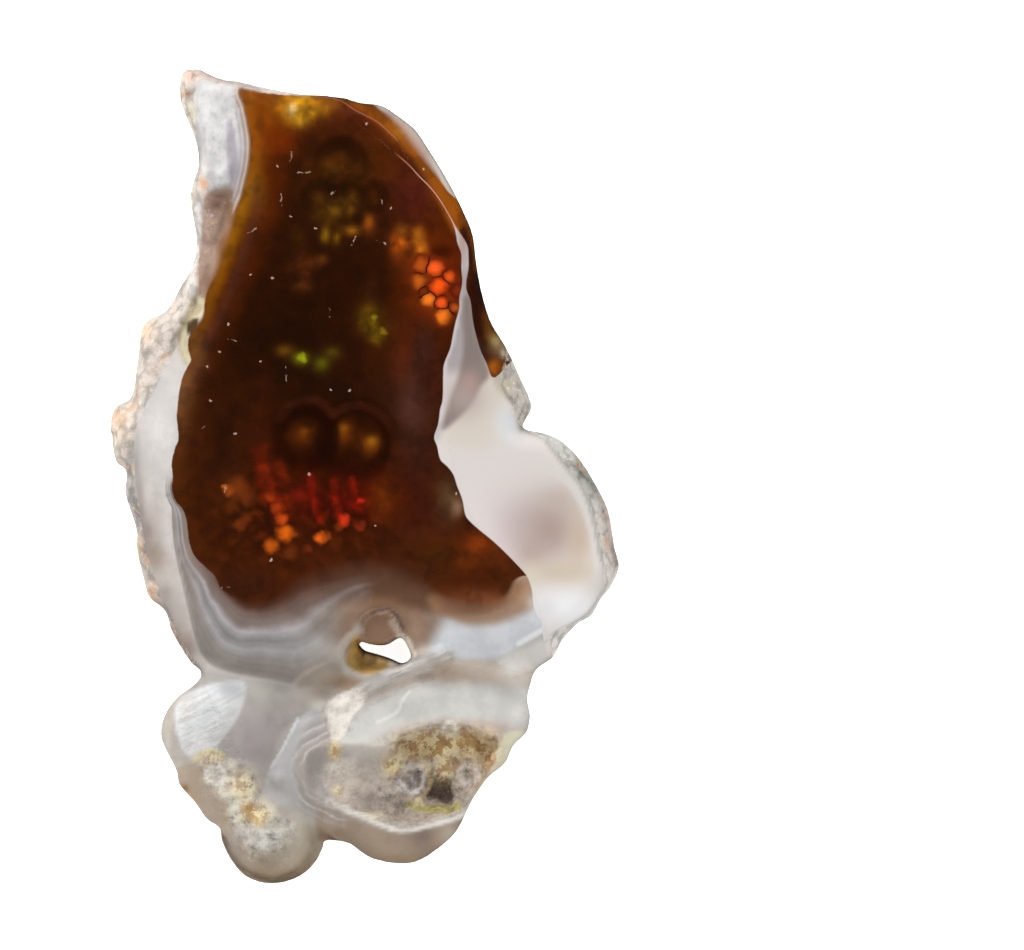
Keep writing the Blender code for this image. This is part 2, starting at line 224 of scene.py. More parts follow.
POCKET = [
    (312, 748), (345, 742), (385, 745), (402, 732), (440, 722), (474, 727), (498, 742),
    (490, 766), (477, 790), (465, 808), (438, 818), (404, 824), (368, 815), (334, 803),
    (310, 790), (304, 766),
]


def place(pixel):
    """Turn a pixel of the photograph into millimetres."""
    return ((pixel[0] - PHOTO_CENTRE[0]) * SCALE, (PHOTO_CENTRE[1] - pixel[1]) * SCALE)


def smooth_line(pixels, closed, steps=4):
    """Draw a Catmull-Rom curve through the points and return it in millimetres."""
    corners = np.array([place(pixel) for pixel in pixels])
    count = len(corners)
    spans = count if closed else count - 1
    points = []
    for span in range(spans):
        around = [span - 1, span, span + 1, span + 2]
        if closed:
            around = [index % count for index in around]
        else:
            around = [min(max(index, 0), count - 1) for index in around]
        before, start, end, after = corners[around]
        for step in range(steps):
            t = step / steps
            bend = (end - before) * t
            bend += (2 * before - 5 * start + 4 * end - after) * t ** 2
            bend += (3 * start - before - 3 * end + after) * t ** 3
            points.append(start + 0.5 * bend)
    if not closed:
        points.append(corners[-1])
    return np.array(points)


def line_distance(x, y, line, closed):
    """Distance to a line, positive on its left side as it runs."""
    nearest = np.full(x.shape, np.inf)
    signed = np.zeros(x.shape)
    ends = np.roll(line, -1, axis=0) if closed else line[1:]
    for start, end in zip(line, ends):
        run = end - start
        along = ((x - start[0]) * run[0] + (y - start[1]) * run[1]) / (run @ run)
        along = np.clip(along, 0.0, 1.0)
        off_x = x - start[0] - along * run[0]
        off_y = y - start[1] - along * run[1]
        distance = np.hypot(off_x, off_y)
        side = np.sign(run[0] * off_y - run[1] * off_x)
        closer = distance < nearest - 1e-9
        signed = np.where(closer, distance * side, signed)
        nearest = np.minimum(nearest, distance)
    return signed


def beside(x, y, pixels):
    """Distance to an open line of pixels, positive on its left side as it runs."""
    return line_distance(x, y, smooth_line(pixels, False), False)


def smooth_step(low, high, value):
    """Rise smoothly from 0 at low to 1 at high."""
    t = np.clip((value - low) / (high - low), 0.0, 1.0)
    return t * t * (3.0 - 2.0 * t)


def smooth_max(first, second, blend):
    """Take the higher of two surfaces with a rounded valley between them."""
    gap = np.clip(1.0 - np.abs(first - second) / blend, 0.0, 1.0)
    return np.maximum(first, second) + blend * gap ** 2 / 4.0


def rounded(distance, radius, drop):
    """How far a rim with an elliptical section has dropped at this distance from the edge."""
    t = np.clip(1.0 - distance / radius, 0.0, 1.0)
    return drop * (1.0 - np.sqrt(1.0 - t * t))


def rough(x, y, z, size):
    """Fractal noise of about -1 to 1, with grains of the given size; z may be one level for all."""
    z = np.broadcast_to(z, x.shape)
    return np.array([
        noise.fractal(Vector(point) / size, 1.0, 2.0, NOISE_OCTAVES)
        for point in zip(x, y, z)
    ])


def bubbles(x, y, z, size):
    """Rounded botryoidal lumps of 0 to 1, packed at the given size; z may be one level for all."""
    heights = []
    for point in zip(x, y, np.broadcast_to(z, x.shape)):
        nearest = noise.voronoi(Vector(point) / size)[0][0]
        heights.append(math.sqrt(max(0.0, 1.0 - (nearest / BUBBLE_REACH) ** 2)))
    return np.array(heights)


def ellipse_radius(x, y, centre, half):
    """Distance from the centre of an ellipse, with 1 on its edge."""
    return np.hypot((x - centre[0]) / half[0], (y - centre[1]) / half[1])


def inside_distance(x, y, pixels):
    """Distance to a closed outline, positive inside it."""
    line = smooth_line(pixels, True)
    after = np.roll(line, -1, axis=0)
    turn = np.sign(np.sum(line[:, 0] * after[:, 1] - after[:, 0] * line[:, 1]))
    return turn * line_distance(x, y, line, True)


# Shape of the stone, as in its model but for the hollow beside the hole and the hole's walls


def main_face(x, y):
    """The domed polished face with its shoulder, its bevel and the rough rind outside them."""
    z = THICKNESS - (x - FACE_CREST[0]) ** 2 / (2.0 * FACE_RADII[0])
    z -= (y - FACE_CREST[1]) ** 2 / (2.0 * FACE_RADII[1])
    z -= FOOT_CURVE * np.clip(FOOT_START - y, 0.0, None) ** 2
    inside = beside(x, y, POLISH_EDGE)
    z -= SHOULDER_DROP * np.clip(1.0 - inside / SHOULDER_WIDTH, 0.0, 1.0) ** 2
    beyond = np.clip(x - ridge_across(y), 0.0, None)
    steep = smooth_step(FLAT_BELOW, STEEP_ABOVE, y)
    z -= beyond * (FLAT_BEVEL + (STEEP_BEVEL - FLAT_BEVEL) * steep)
    z += rind(x, y, -inside, LEFT_RIND)
    return z + rind(x, y, beside(x, y, FACET_EDGE), RIGHT_RIND)


def ridge_across(y):
    """Where the ridge between the face and its right bevel crosses each height of the face."""
    ridge_x, ridge_y = smooth_line(RIDGE, False)[::-1].T
    return np.interp(y, ridge_y, ridge_x)


def rind(x, y, outside, form):
    """How much higher the rough rind is than the polish, at a distance outside its edge."""
    step, slope, lump, size = form
    outside = np.clip(outside, 0.0, None)
    drop = step * smooth_step(0.0, RIND_EDGE, outside) + slope * outside
    lumps = bubbles(x, y, 0.0, size) + RIND_GRAIN * rough(x, y, 1.0, size)
    return lump * smooth_step(0.0, RIND_LUMP_START, outside) * lumps - drop


def lobes(x, y):
    """The rounded lobes below the main face, with a crust over two of them."""
    z = np.full(x.shape, LOBE_FLOOR)
    for centre, half, foot, top in LOBES:
        radius = ellipse_radius(x, y, centre, half)
        cap = foot + (top - foot) * np.sqrt(np.clip(1.0 - radius ** 2, 0.0, None))
        z = smooth_max(z, cap - LOBE_SKIRT * np.clip(radius - 1.0, 0.0, None), LOBE_BLEND)
    crust = smooth_step(*PATCH_EDGE, ellipse_radius(x, y, CRUST_CENTRE, CRUST_HALF))
    return z + CRUST_RISE * crust * (1.0 + rough(x, y, 0.0, CRUMBLE_SIZE))


def pocket_relief(x, y):
    """The broken pocket: its floor and cells, its lip and the layers broken off outside it."""
    inside = -line_distance(x, y, smooth_line(POCKET, True), True)
    crumble = rough(x, y, POCKET_LEVEL, CRUMBLE_SIZE)
    shallow, deep = POCKET_DEPTHS
    depth = shallow + (deep - shallow) * smooth_step(*POCKET_DEEPENS, x)
    relief = -smooth_step(0.0, POCKET_WALL, inside) * (depth - CRUMBLE_RELIEF * crumble)
    for centre, radius, depth in CELLS:
        relief -= depth * smooth_step(*PATCH_EDGE, ellipse_radius(x, y, centre, (radius, radius)))
    relief += LIP_RISE * smooth_step(LIP_WIDTH, 0.0, np.abs(inside))
    outside = -inside / LAYER_STEP
    layered = (outside > 0.0) * (outside < LAYER_COUNT) * smooth_step(*LAYERS_FADE, x)
    return relief - LAYER_RELIEF * layered * (outside % 1.0)


def hole_relief(x, y, hole):
    """The hollows that lead into the hole, and the ledge that runs past it."""
    relief = -rounded(hole, HOLE_RIM, HOLE_RIM_DROP)
    for centre, half, depth in HOLLOWS:
        relief -= depth * smooth_step(*PATCH_EDGE, ellipse_radius(x, y, centre, half))
    ledge = np.abs(beside(x, y, LEDGE))
    return relief + LEDGE_RISE * smooth_step(*LEDGE_WIDTHS, ledge)


def front_height(x, y, edge, hole):
    """Height of the front over each point, in millimetres."""
    below = np.clip(-beside(x, y, VALLEY), 0.0, None)
    main = main_face(x, y) - VALLEY_SLOPE * below - VALLEY_CURVE * below ** 2
    z = smooth_max(main, lobes(x, y), LOBE_BLEND)
    z += pocket_relief(x, y) + hole_relief(x, y, hole)
    return z - rounded(edge, RIM_RADIUS, RIM_DROP)


def back_height(x, y, edge, hole):
    """Height of the back over each point, zero where it is ground flat."""
    z = BACK_RISE * np.clip(1.0 - edge / BACK_WIDTH, 0.0, 1.0) ** 2 - GROUND_OFF
    z += BACK_LUMP * (1.0 - bubbles(x, y, BACK_LEVEL, BACK_LUMP_SIZE))
    z += BACK_GRAIN * rough(x, y, BACK_LEVEL, BACK_GRAIN_SIZE)
    z += rounded(edge, BACK_RIM_RADIUS, BACK_RIM) + rounded(hole, HOLE_RIM, HOLE_RIM_DROP)
    return np.maximum(z, 0.0)


def as_mesh(source):
    """Replace an object by a plain mesh object of its evaluated shape."""
    evaluated = source.evaluated_get(bpy.context.evaluated_depsgraph_get())
    shape = bpy.data.meshes.new_from_object(evaluated)
    result = bpy.data.objects.new(source.name, shape)
    bpy.context.scene.collection.objects.link(result)
    bpy.data.objects.remove(source)
    bpy.context.view_layer.update()
    return result


def slab():
    """A plain slab of the silhouette with the hole through it, remeshed to an even grid."""
    curve = bpy.data.curves.new("slab", "CURVE")
    curve.dimensions = "2D"
    curve.fill_mode = "BOTH"
    curve.extrude = SLAB * MM / 2.0
    for outline in (SILHOUETTE, HOLE):
        points = smooth_line(outline, True) * MM
        spline = curve.splines.new("POLY")
        spline.points.add(len(points) - 1)
        for point, (x, y) in zip(spline.points, points):
            point.co = (x, y, 0.0, 1.0)
        spline.use_cyclic_u = True
    outlined = bpy.data.objects.new("slab", curve)
    bpy.context.scene.collection.objects.link(outlined)
    solid = as_mesh(outlined)
    remesh = solid.modifiers.new("even grid", "REMESH")
    remesh.mode = "VOXEL"
    remesh.voxel_size = GRID * MM
    return as_mesh(solid)


def read_points(stone, kind):
    """The stone's points, or the normals at them, as rows of three numbers."""
    values = np.empty(len(stone.data.vertices) * 3)
    stone.data.vertices.foreach_get(kind, values)
    return values.reshape(-1, 3)


def write_points(stone, points):
    """Move the stone's points to new places given in millimetres."""
    stone.data.vertices.foreach_set("co", (points * MM).ravel())
    stone.data.update()


def carve(stone):
    """Move the slab's points onto the front and the back, and say where each of them lies."""
    x, y, z = (read_points(stone, "co") / MM).T
    level = np.clip(z / (SLAB - SLAB_SKIN) + 0.5, 0.0, 1.0)
    ridge = ridge_across(y)
    x = np.where((np.abs(x - ridge) < GRID / 2.0) & (level == 1.0), ridge, x)

    edge = np.clip(inside_distance(x, y, SILHOUETTE), 0.0, None)
    hole = np.abs(inside_distance(x, y, HOLE))
    back = back_height(x, y, edge, hole)
    front = np.maximum(front_height(x, y, edge, hole), back + LEAST_WALL)
    z = back + level * (front - back)

    below = beside(x, y, VALLEY) < 0.0
    pocket = np.abs(inside_distance(x, y, POCKET)) < LIP_WIDTH
    soft = np.maximum(below * ~pocket, smooth_step(*SOFT_RIM, edge))
    soft *= smooth_step(0.0, HOLE_CLEAR, hole)
    group = stone.vertex_groups.new(name="soft")
    for index, weight in enumerate(soft):
        group.add([index], float(weight), "REPLACE")

    shrink = 1.0 - BACK_DRAWN_IN * (1.0 - level) * smooth_step(0.0, HOLE_CLEAR, hole)
    hole_x, hole_y = place(HOLE_CENTRE)
    drawn_x = hole_x + (x - hole_x) * shrink
    drawn_y = hole_y + (y - hole_y) * shrink
    write_points(stone, np.column_stack((drawn_x, drawn_y, z)))
    return x, y, level


def soften(stone):
    """Even out the steep rims and the lobes, which an even grid leaves stepped."""
    smooth = stone.modifiers.new("soft rims", "SMOOTH")
    smooth.iterations = SMOOTH_PASSES
    smooth.factor = 0.5
    smooth.vertex_group = "soft"
    return as_mesh(stone)


def roughen(stone, level, grain):
    """Push the sides and the back into rounded lumps, and add the fine grain of the front."""
    points = read_points(stone, "co") / MM
    normals = read_points(stone, "normal")
    x, y, z = points.T
    lumps = bubbles(x, y, z, SIDE_LUMP_SIZE) - 1.0
    lumps += SIDE_GRAIN * rough(x, y, z, SIDE_GRAIN_SIZE)
    amount = SIDE_LUMP * smooth_step(0.0, SIDE_START, z) * smooth_step(*SIDE_LEVELS, level)
    amount *= SIDE_SHARE + (1.0 - SIDE_SHARE) * np.abs(normals[:, 2])
    hole = np.abs(inside_distance(x, y, HOLE))
    amount *= smooth_step(0.0, HOLE_CLEAR, hole)
    points += normals * (amount * lumps + grain * smooth_step(0.0, SIDE_START, z))[:, None]

    outline = smooth_line(SILHOUETTE, True)
    for axis in (0, 1):
        ends = (outline[:, axis].min(), outline[:, axis].max())
        reach = (points[:, axis].min(), points[:, axis].max())
        points[:, axis] = np.interp(points[:, axis], reach, ends)
    points[:, 2] = np.clip(points[:, 2], 0.0, THICKNESS)
    write_points(stone, points)


# Painting: each stroke gives a mask over the stone and a colour, and is placed in the photograph's
# pixels. A dab fades by this factor, and a line is full over this share of its width.
DAB_FALL = 1.2
LINE_CORE = 0.3


def dab(centre, half, colour, strength=0.9):
    """A soft round wash, by its centre and half widths."""
    def mask(x, y):
        sizes = (half[0] * SCALE, half[1] * SCALE)
        return strength * np.exp(-DAB_FALL * ellipse_radius(x, y, place(centre), sizes) ** 2)
    return mask, colour


def patch(outline, soft, colour, strength=0.9):
    """A wash inside an outline, fading over a distance in millimetres at its border."""
    def mask(x, y):
        line = np.array([place(pixel) for pixel in outline])
        low = line.min(axis=0) - soft
        high = line.max(axis=0) + soft
        near = (x > low[0]) & (x < high[0]) & (y > low[1]) & (y < high[1])
        cover = np.zeros(x.shape)
        inside = inside_distance(x[near], y[near], outline)
        cover[near] = strength * smooth_step(-soft / 2.0, soft / 2.0, inside)
        return cover
    return mask, colour


def streak(line, width, colour, strength=0.9):
    """A wash along a line, fading to nothing at this distance from it in millimetres."""
    def mask(x, y):
        away = np.abs(beside(x, y, line))
        return strength * smooth_step(width, width * LINE_CORE, away)
    return mask, colour


def ring(centre, radius, width, colour, strength=0.9):
    """A wash along a circle, fading to nothing at this distance from it in millimetres."""
    def mask(x, y):
        middle = place(centre)
        away = np.abs(np.hypot(x - middle[0], y - middle[1]) - radius * SCALE)
        return strength * smooth_step(width, width * LINE_CORE, away)
    return mask, colour


# The brown window: its outline, which runs past the stone's edge on the right, and where its
# border is soft, each as centre, half widths and how soft in millimetres
WINDOW = [
    (241, 93), (262, 96), (300, 98), (330, 94), (350, 94), (366, 98), (378, 110), (391, 118),
    (404, 129), (415, 143), (426, 159), (437, 177), (450, 196), (468, 206), (482, 218),
    (495, 240), (505, 290), (525, 330), (540, 370), (520, 400), (490, 420), (480, 470),
    (520, 530), (538, 560), (532, 574), (521, 576), (514, 581), (509, 591), (503, 600),
    (490, 606), (470, 609), (450, 604), (435, 595), (420, 586), (400, 580), (385, 576),
    (365, 574), (345, 576), (320, 582), (300, 588), (290, 595), (275, 602), (262, 606),
    (248, 606), (238, 602), (228, 594), (221, 587), (216, 576), (210, 570), (200, 561),
    (194, 553), (190, 540), (189, 530), (187, 517), (183, 508), (178, 503), (175, 497),
    (173, 488), (174, 478), (173, 465), (174, 457), (177, 447), (180, 438), (178, 420),
    (179, 405), (181, 390), (184, 377), (190, 366), (192, 360), (189, 350), (190, 338),
    (198, 328), (204, 316), (206, 300), (212, 284), (219, 262), (227, 238), (236, 215),
    (244, 195), (250, 170), (252, 150), (250, 130), (246, 110),
]
SOFT_BORDERS = [
    ((412, 142), (44, 44), 1.5),
    ((226, 250), (24, 50), 0.9),
    ((356, 582), (84, 44), 3.8),
    ((258, 604), (46, 16), 1.2),
    ((462, 606), (54, 22), 2.0),
    ((512, 588), (12, 14), 0.6),
    ((205, 318), (12, 12), 0.3),
]
# How soft a crisp border is and how far the window's border wanders, in millimetres
CRISP = 0.10
WARP = 0.05

# The border between the window and the white facet on its right, and on past the window's foot,
# then the left border of the brown wedge beyond the facet's tip. They share a run along the ridge,
# which leaves a thin pale line there, a painted highlight on the ridge, and both start off the stone.
RIDGE_RUN = [(420, 180), (430, 190), (440, 203), (450, 220)]
FACET_LEFT = [(374, 80), (389, 151), (400, 160), (410, 169)] + RIDGE_RUN + [
    (455, 233), (457, 245), (461, 256), (461, 270), (462, 285), (459, 300), (459, 310),
    (455, 325), (452, 340), (450, 350), (444, 365), (443, 375), (442.5, 400), (440, 410),
    (438, 425), (434, 438), (437, 447), (440, 460), (447, 467), (453, 475), (457, 487),
    (462, 500), (465, 515), (470, 522), (480, 531), (490, 539), (500, 548), (512, 560),
    (524, 573), (528, 580), (531, 590), (532, 600), (534, 610), (538, 617), (541, 622),
    (543, 640), (560, 700),
]
WEDGE_LEFT = [(360, 80), (388, 152), (399, 161), (409.5, 169.5)] + RIDGE_RUN + [
    (455, 229), (460, 236), (467, 248), (468, 260), (468, 270), (466, 282), (466, 292),
    (470, 303), (472, 320), (475, 335), (480, 352), (486, 365), (492, 379), (501, 373),
    (510, 363), (540, 345),
]

# Two fine lines of light along the ridge at the top right, painted highlights, and how far along it
# they show
RIDGE_HIGHLIGHT_LINES = [
    [(320, 99), (340, 103), (355, 113), (376, 124), (390, 136), (398, 144), (402, 151)],
    [(389, 151), (400, 160), (410, 169)] + RIDGE_RUN + [(456, 230)],
]
RIDGE_HIGHLIGHTS_SHOWN = [
    streak([(320, 99), (340, 103), (355, 113), (376, 124), (388, 134)], 1.5, None, 1.0),
    streak([(408, 167)] + RIDGE_RUN + [(456, 230)], 1.5, None, 1.0),
]

# The grey bands round the foot of the window end on this line. In working out how far across them
# a point lies, they are taken to be no narrower than this in millimetres.
LEAST_BAND = 0.5
BANDS_END = [
    (173, 486), (173, 520), (175, 545), (178, 562), (182, 580), (186, 598), (190, 615),
    (193, 630), (197, 644), (203, 656), (212, 665), (226, 671), (248, 676), (275, 680),
    (298, 684), (332, 672), (352, 648), (372, 600),
]

# The brown under the polish, the light that the polish adds over it, and the tint of its left
# border by height in the photograph, with the distances between which that fades
WINDOW_BASE = (62, 27, 6)
POLISH_SHINE = (5, 6, 5)
EDGE_TINTS = {
    95: (146, 86, 20), 150: (148, 82, 14), 190: (160, 104, 10), 250: (150, 92, 2),
    300: (126, 74, 4), 350: (122, 74, 26), 400: (126, 84, 46), 440: (92, 52, 20),
    500: (78, 38, 8), 610: (76, 38, 16),
}
EDGE_TINT_WIDTH = (2.1, 0.3)
WINDOW_STROKES = [
    # Reddish brown towards the top right
    dab((395, 165), (84, 76), (84, 36, 8)),
    dab((350, 118), (55, 24), (96, 40, 14), 0.8),
    dab((414, 200), (24, 30), (84, 30, 26), 0.7),
    dab((436, 235), (26, 30), (88, 36, 6), 0.7),
    dab((300, 560), (140, 60), (78, 33, 8), 0.8),
    dab((430, 530), (50, 50), (74, 34, 16), 0.7),
    # Orange brown beyond the ridge, pale and clear along the outer rim
    patch([(340, 96), (372, 122), (404, 150), (438, 202), (458, 240), (500, 250), (480, 180),
           (440, 130), (400, 92)], 0.6, (158, 86, 10)),
    dab((402, 132), (16, 16), (176, 112, 30), 0.7),
    patch([(458, 236), (470, 262), (468, 300), (476, 336), (486, 362), (492, 382), (510, 364),
           (500, 330), (488, 290), (484, 250), (472, 225)], 0.5, (46, 19, 9)),
    streak([(462, 212), (474, 240), (479, 270)], 0.5, (150, 82, 10), 0.8),
    dab((488, 322), (7, 20), (116, 70, 12), 0.85),
    dab((496, 343), (9, 13), (180, 154, 84), 0.95),
    dab((504, 354), (5, 7), (218, 206, 176)),
    dab((494, 369), (9, 10), (184, 100, 8), 0.95),
    # Ochre and gold along the top, with a pale fleck
    streak([(270, 100), (280, 140), (276, 185), (264, 225), (250, 262), (234, 300), (220, 340)],
           1.5, (92, 36, 2), 0.7),
    dab((268, 118), (20, 36), (140, 72, 6), 0.8),
    dab((286, 142), (22, 18), (128, 48, 4), 0.8),
    dab((284, 108), (14, 12), (176, 104, 10), 0.85),
    dab((303, 106), (20, 13), (214, 152, 14), 0.97),
    dab((300, 120), (14, 11), (224, 168, 28), 0.95),
    dab((320, 110), (15, 11), (200, 134, 12)),
    dab((293, 112), (5, 7), (250, 214, 160)),
    dab((306, 99), (5, 3), (236, 184, 60), 0.8),
    dab((314, 114), (4, 4), (238, 176, 28), 0.8),
    dab((301, 126), (4, 5), (236, 176, 40), 0.7),
    dab((285, 117), (3, 4), (216, 150, 40), 0.7),
    dab((330, 103), (16, 7), (140, 84, 14), 0.7),
    dab((268, 205), (12, 36), (112, 46, 6), 0.75),
    dab((262, 195), (7, 26), (132, 84, 6), 0.6),
    dab((196, 346), (7, 18), (122, 82, 36), 0.85),
    # The dark heart
    dab((310, 280), (70, 110), (34, 15, 6), 0.75),
    dab((330, 170), (40, 60), (46, 22, 8), 0.5),
    dab((270, 350), (60, 50), (30, 14, 6), 0.7),
    dab((330, 390), (60, 26), (36, 17, 7), 0.7),
    dab((374, 285), (24, 40), (36, 16, 5), 0.7),
    dab((386, 222), (16, 20), (46, 20, 10), 0.6),
    dab((425, 328), (12, 20), (50, 22, 12), 0.7),
    dab((205, 440), (26, 90), (60, 27, 8), 0.7),
    dab((226, 440), (14, 60), (42, 20, 8), 0.6),
    dab((262, 400), (10, 50), (66, 26, 8), 0.5),
    # Brown botryoids with ochre teeth
    dab((345, 185), (36, 42), (80, 44, 8), 0.8),
    ring((341, 166), 20, 0.9, (34, 14, 4), 0.7),
    ring((320, 200), 13, 0.7, (36, 16, 4), 0.7),
    ring((352, 208), 15, 0.7, (34, 14, 4), 0.7),
    ring((372, 200), 13, 0.6, (38, 16, 4), 0.5),
    dab((331, 170), (16, 14), (92, 54, 8), 0.7),
    dab((358, 172), (14, 12), (88, 48, 8), 0.7),
    dab((335, 214), (17, 13), (112, 76, 10), 0.8),
    dab((352, 205), (13, 11), (100, 66, 12), 0.7),
    dab((318, 205), (10, 18), (72, 44, 8), 0.7),
    dab((326, 238), (5, 8), (150, 112, 12), 0.85),
    dab((337, 240), (4, 8), (132, 94, 10), 0.8),
    dab((352, 232), (9, 6), (168, 106, 14), 0.85),
    dab((369, 226), (6, 10), (156, 80, 12), 0.85),
    dab((300, 240), (10, 12), (84, 46, 8), 0.6),
    dab((304, 268), (14, 13), (98, 46, 12), 0.8),
    dab((303, 289), (11, 7), (100, 52, 14), 0.8),
    dab((321, 262), (8, 6), (110, 60, 12), 0.7),
    dab((372, 300), (9, 24), (72, 36, 10), 0.6),
    # Fire beside the honeycomb
    dab((430, 285), (32, 44), (124, 48, 6), 0.85),
    dab((438, 288), (18, 30), (176, 58, 4), 0.85),
    dab((441, 254), (15, 8), (54, 18, 5), 0.85),
    dab((399, 246), (9, 15), (196, 92, 10)),
    dab((418, 238), (7, 10), (190, 110, 16)),
    dab((421, 250), (6, 7), (238, 142, 28), 0.95),
    dab((402, 233), (6, 7), (150, 90, 16), 0.7),
    dab((421, 268), (8, 18), (214, 104, 12)),
    dab((455, 262), (6, 20), (92, 30, 6), 0.7),
    # Green and olive
    dab((370, 320), (12, 15), (124, 96, 6)),
    dab((378, 336), (10, 10), (138, 108, 10)),
    dab((392, 330), (9, 16), (78, 42, 10), 0.6),
    dab((301, 360), (9, 7), (128, 132, 8), 0.95),
    dab((322, 365), (9, 9), (88, 88, 8)),
    dab((333, 354), (8, 7), (92, 80, 10), 0.8),
    dab((285, 352), (10, 7), (108, 72, 10), 0.8),
    # Reddish brown, and down the right a mauve haze that is a painted reflection in the polish
    dab((402, 362), (14, 34), (92, 36, 8), 0.75),
    dab((424, 352), (12, 26), (66, 38, 34), 0.6),
    dab((412, 410), (22, 46), (88, 56, 52), 0.75),
    dab((432, 385), (12, 26), (70, 30, 18), 0.7),
    dab((420, 470), (26, 40), (62, 30, 20), 0.6),
    dab((384, 395), (22, 18), (52, 26, 12), 0.6),
    # Two dark rings with gold eyes
    dab((308, 440), (34, 30), (38, 14, 5)),
    dab((352, 440), (40, 34), (40, 15, 5)),
    dab((304, 436), (15, 12), (98, 48, 6)),
    dab((343, 435), (15, 12), (112, 56, 6), 0.95),
    dab((371, 446), (12, 11), (120, 64, 8), 0.95),
    # Small painted highlights near the top of each eye
    dab((305, 432), (5, 4), (122, 66, 10), 0.8),
    dab((344, 429), (6, 5), (142, 82, 10), 0.85),
    dab((372, 442), (6, 5), (158, 102, 12)),
    ring((306, 438), 27, 0.8, (30, 10, 3), 0.7),
    ring((357, 440), 33, 0.9, (32, 11, 3), 0.7),
    streak([(280, 420), (296, 404), (318, 402), (334, 416)], 0.5, (66, 30, 12), 0.6),
    streak([(334, 414), (356, 406), (382, 416), (396, 440), (390, 466)], 0.5, (70, 32, 14), 0.6),
    # The red field low down, and the orange column beside it
    dab((340, 498), (72, 30), (78, 17, 3), 0.85),
    dab((352, 502), (26, 13), (112, 20, 3), 0.75),
    dab((304, 496), (12, 22), (92, 22, 5), 0.7),
    dab((383, 500), (16, 22), (116, 54, 6), 0.75),
    dab((272, 490), (20, 44), (80, 25, 4), 0.85),
    dab((236, 500), (26, 28), (82, 38, 8), 0.8),
    streak([(262, 452), (264, 470), (270, 492), (282, 515)], 1.0, (104, 28, 6), 0.7),
    streak([(264, 470), (268, 486), (276, 502)], 0.6, (134, 40, 8), 0.5),
    streak([(280, 466), (288, 490), (290, 516)], 0.6, (112, 32, 6), 0.6),
    streak([(311, 478), (314, 500), (320, 522)], 0.4, (150, 26, 4), 0.7),
    streak([(334, 482), (337, 505), (342, 518)], 0.4, (150, 28, 4), 0.7),
    streak([(352, 480), (356, 500), (360, 510)], 0.4, (136, 24, 4), 0.7),
    dab((232, 470), (18, 12), (72, 34, 12), 0.6),
    dab((258, 440), (16, 14), (62, 26, 10), 0.6),
    dab((300, 545), (44, 16), (72, 30, 8), 0.7),
    # The brown foot and the lobe at the lower right
    dab((448, 498), (13, 26), (96, 72, 48), 0.85),
    dab((457, 508), (7, 10), (144, 120, 98), 0.75),
    dab((470, 560), (50, 32), (84, 38, 10), 0.85),
    dab((436, 556), (20, 16), (78, 42, 6), 0.7),
    dab((480, 543), (16, 11), (158, 66, 10), 0.85),
    dab((466, 564), (14, 8), (138, 64, 12), 0.75),
    dab((500, 560), (10, 18), (104, 48, 16), 0.7),
    dab((480, 600), (42, 12), (140, 84, 56), 0.75),
    dab((380, 572), (50, 14), (74, 44, 30), 0.7),
    dab((250, 585), (36, 20), (62, 32, 18), 0.6),
]

